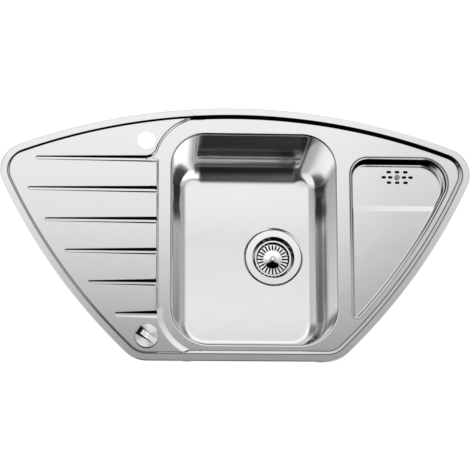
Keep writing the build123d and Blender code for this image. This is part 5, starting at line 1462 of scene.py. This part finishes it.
# Satin chrome plate, turned: nearly white, with painted fans of highlight round its middle and painted
# shade on its steep faces.
KNOB_CHROME = TurnedMetal("bright_chrome", "#fcfcfc", 0.2, fan=(-0.1753, -0.2057), metal=0.4)
# Chrome plate in the knob's shade: a dark grey ring.
RING_CHROME = TurnedMetal("bright_chrome", "#6c6c6c", 0.25)
# Zinc-plated steel: dull and slightly blue.
ZINC_STEEL = PlatedMetal("zinc_steel", "#c2c5c8", 0.32)
# Turned brass: yellow, with soft gleams.
BRASS_SLEEVE = PlatedMetal("brass_sleeve", "#d6b46a", 0.25)
# Closed-cell foam: black-grey and matt, with open pores.
FOAM_STRIP = Moulded("foam_strip", "#3a3a3a", 0.9, grain=1.2, depth=0.15, mottle=0.3)
# Moulded rubber: nearly black, with a faint sheen.
SEAL_RUBBER = Moulded("seal_rubber", "#262626", 0.55, grain=0.6)
# Moulded polypropylene: off-white, with a soft sheen.
WHITE_PLASTIC = Moulded("white_plastic", "#e4e4e0", 0.42)
# The same plastic painted black on the overflow housing: painted shade behind the slots.
SLOT_SHADE_PLASTIC = Moulded("black_plastic", "#222223", 0.45)
# Moulded nylon: mid grey, with a soft sheen.
GREY_PLASTIC = Moulded("grey_plastic", "#9a9c9e", 0.4)
# Extruded plastic sheath: black and smooth.
CABLE_SHEATH = Moulded("cable_sheath", "#202022", 0.4, grain=0.5)
# Bitumen sheet: dark grey, matt and coarse.
DAMPING_PAD = Moulded("damping_pad", "#4c4c4e", 0.85, grain=2.0, depth=0.2, mottle=0.25)

CAD_FINISHES: dict[Finish, tuple[str, ...]] = {
    CUP_STEEL: ("strainer_cup",),
    BASKET_STEEL: ("strainer_basket",),
    KNOB_CHROME: ("control_knob",),
    POLISHED_STEEL: ("cup_screws", "lift_pin", "crank_shaft", "drum_screw"),
    BRIGHT_CHROME: ("basket_knob",),
    RING_CHROME: ("knob_bezel",),
    SCREW_CHROME: ("overflow_screw",),
    ZINC_STEEL: ("clip_brackets", "clip_claws", "clip_bolts", "clip_nuts"),
    FOAM_STRIP: ("rim_seal",),
    SEAL_RUBBER: ("cup_gasket", "bowl_gasket", "basket_seal", "crank_seal", "knob_gasket")
    + ("overflow_gasket", "overflow_washers"),
    WHITE_PLASTIC: ("waste_body", "crank_cover", "overflow_pipe", "overflow_nuts"),
    SLOT_SHADE_PLASTIC: ("overflow_housing",),
    GREY_PLASTIC: ("knob_nut", "knob_housing", "housing_cover", "cable_drum")
    + ("crank_lever", "basket_stem"),
    CABLE_SHEATH: ("control_cable",),
    BRASS_SLEEVE: ("cable_ferrules",),
    DAMPING_PAD: ("sound_pads",),
}


def dress(thing: bpy.types.Object, finish: Finish, body: str, *nodes: str) -> None:
    """Gives a piece its finish and slot, and ties it to the frame.

    Args:
        thing: the piece.
        finish: its finish.
        body: the CAD body that it moves with.
        nodes: the CAD nodes that it replaces.
    """
    thing.data.materials.clear()
    thing.data.materials.append(finish.material())
    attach(thing, body)
    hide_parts(*nodes)


@dataclass
class CadPieces:
    """The CAD nodes that are shown as they are, with their edges slightly rounded."""

    nodes: dict[str, bpy.types.Object]
    edge: float = 0.25  # mm
    weld: float = 0.002  # mm; points nearer than this are one
    sharp: float = 35.0  # degrees; edges that turn more than this are rounded

    def build(self) -> None:
        """Gives each node its finish and rounds its edges."""
        for finish, names in CAD_FINISHES.items():
            for name in names:
                thing = self.nodes[name]
                thing.data.materials.clear()
                thing.data.materials.append(finish.material())
                weld = thing.modifiers.new("joined", "WELD")
                weld.merge_threshold = self.weld * MM
                bevel = thing.modifiers.new("rounded", "BEVEL")
                bevel.width = self.edge * MM
                bevel.segments = 2
                bevel.limit_method = "ANGLE"
                bevel.angle_limit = math.radians(self.sharp)
                bevel.harden_normals = True


# ---------------------------------------------------------------- the studio


class Cards(Enum):
    """The columns of cards: how bright each is from the studio's front (-1) to its back (1)."""

    MIDDLE = (
        ((-1.0, 0.5), (-0.97, 0.08), (-0.46, 0.05), (0.0, 0.04))
        + ((0.09, 0.4), (0.16, 0.68), (0.25, 1.06), (0.35, 1.2))
        + ((0.55, 1.15), (0.68, 0.7), (1.0, 0.8))
    )
    LEFT = (
        ((-1.0, 0.6), (-0.7, 0.5), (-0.5, 1.0), (0.02, 1.15), (0.12, 0.8))
        + ((0.24, 0.65), (0.4, 0.2), (0.6, 0.25), (0.7, 0.8), (1.0, 0.85))
    )
    RIGHT = (
        ((-1.0, 0.6), (-0.8, 0.4), (-0.6, 1.5), (-0.1, 1.5), (0.06, 0.6))
        + ((0.15, 0.5), (0.25, 0.85), (0.36, 1.15), (0.75, 1.2), (1.0, 0.8))
    )
    FAR_RIGHT = (
        ((-1.0, 0.6), (-0.8, 0.4), (-0.6, 1.5), (-0.1, 1.4), (0.06, 0.75))
        + ((0.2, 0.5), (0.42, 0.3), (0.6, 0.3), (0.72, 0.9), (1.0, 0.85))
    )


@dataclass
class Studio:
    """A plain pale floor, soft lamps, and the cards that the steel reflects."""

    floor_size: float = 80.0
    floor_gap: float = 0.002
    floor_glow: float = 0.6  # how much the floor is lightened where the camera sees it
    surround: float = 0.5  # how strongly the white surround lights the sink
    dome_radius: float = 4.2
    dome_reach: float = 84.0  # degrees from straight up
    left_edge: tuple[float, float] = (-0.27, -0.34)  # where the left cards begin, in plan
    right_edge: tuple[float, float] = (0.17, 0.25)
    far_right_edge: tuple[float, float] = (0.36, 0.43)

    def build(self) -> None:
        """Sets up the world, the floor, the lamps and the cards."""
        self.world()
        self.floor()
        self.lamp("overhead", (-0.6, 0.9, 2.6), size=1.8, power=24.0)
        self.lamp("side_fill", (1.8, -1.6, 1.7), size=1.6, power=12.0)
        self.lamp("low_fill", (0.3, 1.6, 0.5), size=1.0, power=3.0)
        self.cards()

    def shown_white(self, tree: Tree) -> Socket:
        """1 for the rays by which the camera sees the background, in the open or in metal."""
        rays = add_node(tree, "ShaderNodeLightPath")
        either = {0: rays.outputs["Is Camera Ray"], 1: rays.outputs["Is Glossy Ray"]}
        seen = add_node(tree, "ShaderNodeMath", either, operation="MAXIMUM")
        either = {0: seen.outputs[0], 1: rays.outputs["Is Transmission Ray"]}
        return add_node(tree, "ShaderNodeMath", either, operation="MAXIMUM").outputs[0]

    def world(self) -> None:
        """A white surround that lights the object at a plain level."""
        world = bpy.data.worlds.new("studio")
        world.use_nodes = True
        tree = world.node_tree
        tree.nodes.clear()
        dim = {"Color": (1, 1, 1, 1), "Strength": self.surround}
        plain = add_node(tree, "ShaderNodeBackground", dim)
        white = add_node(tree, "ShaderNodeBackground", {"Color": (1, 1, 1, 1), "Strength": 1.0})
        sides = {0: self.shown_white(tree), 1: plain.outputs[0], 2: white.outputs[0]}
        mix = add_node(tree, "ShaderNodeMixShader", sides)
        add_node(tree, "ShaderNodeOutputWorld", {"Surface": mix.outputs[0]})
        bpy.context.scene.world = world

    def floor(self) -> None:
        """A pale floor that shows white to the camera and keeps a soft shadow."""
        low = min(Span.of(name).low[2] for name in ("waste_body", "overflow_pipe")) * MM
        half = self.floor_size / 2
        corners = [(-half, -half, 0), (half, -half, 0), (half, half, 0), (-half, half, 0)]
        mesh = bpy.data.meshes.new("floor")
        mesh.from_pydata(corners, [], [(0, 1, 2, 3)])
        thing = placed("floor", mesh)
        thing.location = (0, 0, low - self.floor_gap)
        material = new_material("pale_floor")
        tree = material.node_tree
        dull = add_node(tree, "ShaderNodeBsdfDiffuse", {"Color": (0.8, 0.8, 0.8, 1)})
        light = {"Color": (1, 1, 1, 1), "Strength": self.floor_glow}
        glow = add_node(tree, "ShaderNodeEmission", light)
        lit = add_node(tree, "ShaderNodeAddShader", {0: dull.outputs[0], 1: glow.outputs[0]})
        sides = {0: self.shown_white(tree), 1: dull.outputs[0], 2: lit.outputs[0]}
        mix = add_node(tree, "ShaderNodeMixShader", sides)
        add_node(tree, "ShaderNodeOutputMaterial", {"Surface": mix.outputs[0]})
        mesh.materials.append(material)

    def lamp(self, name: str, place: Place, size: float, power: float) -> None:
        """A soft square lamp that points at the sink and isn't mirrored in the steel."""
        light = bpy.data.lights.new(name, "AREA")
        light.shape = "SQUARE"
        light.size = size
        light.energy = power
        thing = placed(name, light)
        thing.location = place
        thing.rotation_mode = "QUATERNION"
        thing.rotation_quaternion = (-Vector(place)).to_track_quat("-Z", "Y")
        thing.visible_glossy = False

    def cards(self) -> None:
        """A dome of pale and dark cards round the sink, seen only as reflections in its metal."""
        rings, sides = 24, 48
        points, faces = [], []
        for row in range(rings + 1):
            tilt = math.radians(self.dome_reach * row / rings)
            for k in range(sides):
                turn = 2 * math.pi * k / sides
                flat, up = math.sin(tilt) * self.dome_radius, math.cos(tilt) * self.dome_radius
                points.append((flat * math.cos(turn), flat * math.sin(turn), up))
        for a, b, c, d in lofted(rings + 1, sides):
            faces.append((d, c, b, a))
        mesh = bpy.data.meshes.new("cards")
        mesh.from_pydata(points, [], faces)
        mesh.polygons.foreach_set("use_smooth", [True] * len(mesh.polygons))
        thing = placed("cards", mesh)
        for ray in ("camera", "diffuse", "shadow", "transmission", "volume_scatter"):
            setattr(thing, f"visible_{ray}", False)
        mesh.materials.append(self.card_material())

    def card_material(self) -> bpy.types.Material:
        """The cards' tones: a dark card towards the user between bright ones at the sides."""
        material = new_material("studio_cards")
        tree = material.node_tree
        place = add_node(tree, "ShaderNodeTexCoord")
        unit_dome = {"Vector": place.outputs["Object"], "Scale": (1 / self.dome_radius,) * 3}
        shrunk = add_node(tree, "ShaderNodeMapping", unit_dome)
        split = add_node(tree, "ShaderNodeSeparateXYZ", {0: shrunk.outputs[0]})
        depth = {"Value": split.outputs["Y"], "From Min": -1.0}
        share = add_node(tree, "ShaderNodeMapRange", depth).outputs[0]
        tone = self.column_of_cards(tree, share, Cards.MIDDLE)
        for cards, edge in (
            (Cards.LEFT, self.left_edge),
            (Cards.RIGHT, self.right_edge),
            (Cards.FAR_RIGHT, self.far_right_edge),
        ):
            column = self.column_of_cards(tree, share, cards)
            tone = self.beside(tree, split.outputs["X"], edge, tone, column)
        glow = add_node(tree, "ShaderNodeEmission", {"Color": tone})
        add_node(tree, "ShaderNodeOutputMaterial", {"Surface": glow.outputs[0]})
        return material

    def column_of_cards(self, tree: Tree, share: Socket, cards: Cards) -> Socket:
        """The tones of one column of cards, from the front of the studio to its back."""
        ramp = add_node(tree, "ShaderNodeValToRGB", {"Fac": share})
        elements = ramp.color_ramp.elements
        stops = cards.value
        for index, (place, tone) in enumerate((stops[0], stops[-1]) + stops[1:-1]):
            position = (place + 1) / 2
            stop = elements[index] if index < 2 else elements.new(position)
            stop.position = position
            stop.color = (tone, tone, tone, 1)
        return ramp.outputs[0]

    def beside(
        self, tree: Tree, across: Socket, edge: tuple[float, float], first: Socket, second: Socket
    ) -> Socket:
        """Goes from one tone to the next between two places across the studio.

        Args:
            tree: the cards' node tree.
            across: the place across the studio.
            edge: where the second tone begins, and where it is full.
            first: the tone on the near side.
            second: the tone past the edge.

        Returns:
            The tone at the place.
        """
        between = {"Value": across, "From Min": edge[0], "From Max": edge[1]}
        share = add_node(tree, "ShaderNodeMapRange", between, interpolation_type="SMOOTHSTEP")
        tones = {"Factor": share.outputs[0], 6: first, 7: second}
        return add_node(tree, "ShaderNodeMix", tones, data_type="RGBA").outputs[2]


@dataclass
class View:
    """The camera: nearly overhead, from in front of the sink and a little to its left."""

    outline: DeckOutline
    distance: float = 3.0
    from_front: float = 13.5  # degrees off straight down, at the bowl
    from_left: float = 4.5
    tilt: float = 9.9  # how much of the first angle the camera itself leans
    turn: float = 2.5  # how much of the second
    level: float = 0.003  # the height at which the sink's outline is framed: its rim's top
    sensor: float = 36.0
    fill: float = 1.0  # how much of the frame's width the sink takes

    def build(self) -> None:
        """Places the camera and frames the sink."""
        bowl = Span.of("main_bowl")
        middle = (bowl.middle[0] * MM, bowl.middle[1] * MM)
        aside = self.distance * math.tan(math.radians(self.from_left))
        before = self.distance * math.tan(math.radians(self.from_front))
        eye = Vector((middle[0] - aside, middle[1] - before, self.distance))
        lean = Matrix.Rotation(math.radians(self.tilt), 3, "X")
        swing = Matrix.Rotation(-math.radians(self.turn), 3, "Y")
        pose = swing @ lean
        ring, _ = self.outline.ring(0.0, 10.0)
        corners = [Vector((x * MM, y * MM, self.level)) for x, y in ring]
        seen = [pose.transposed() @ (corner - eye) for corner in corners]
        across = [p.x / -p.z for p in seen]
        up = [p.y / -p.z for p in seen]
        width = max(across) - min(across)
        data = bpy.data.cameras.new("camera")
        data.sensor_width = self.sensor
        data.lens = self.sensor * self.fill / width
        data.shift_x = (max(across) + min(across)) / 2 * data.lens / self.sensor
        data.shift_y = (max(up) + min(up)) / 2 * data.lens / self.sensor
        camera = placed("camera", data)
        camera.matrix_world = Matrix.Translation(eye) @ pose.to_4x4()
        bpy.context.scene.camera = camera
        LOG.info("lens %.1f mm, shift %.3f, %.3f", data.lens, data.shift_x, data.shift_y)


# ---------------------------------------------------------------- the whole scene


def main() -> None:
    """Builds the sink's pieces, the studio and the camera, in order."""
    logging.basicConfig(level=logging.INFO, format="%(name)s: %(message)s")
    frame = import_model()
    bpy.context.scene.view_settings.view_transform = "Standard"
    deck_outline = DeckOutline()
    bowl_outline = BowlOutline()
    tray_outline = TrayOutline(deck=deck_outline)
    Deck(deck_outline, bowl_outline, tray_outline).build(SILK_STEEL)
    LOG.info("deck made")
    Bowl(bowl_outline).build(BOWL_STEEL)
    LOG.info("bowl made")
    Tray(tray_outline).build(SILK_STEEL)
    LOG.info("tray made")
    CadPieces(frame["nodes"]).build()
    LOG.info("CAD pieces dressed")
    Studio().build()
    View(deck_outline).build()
    LOG.info("studio and camera set up")


if __name__ == "__main__":
    main()
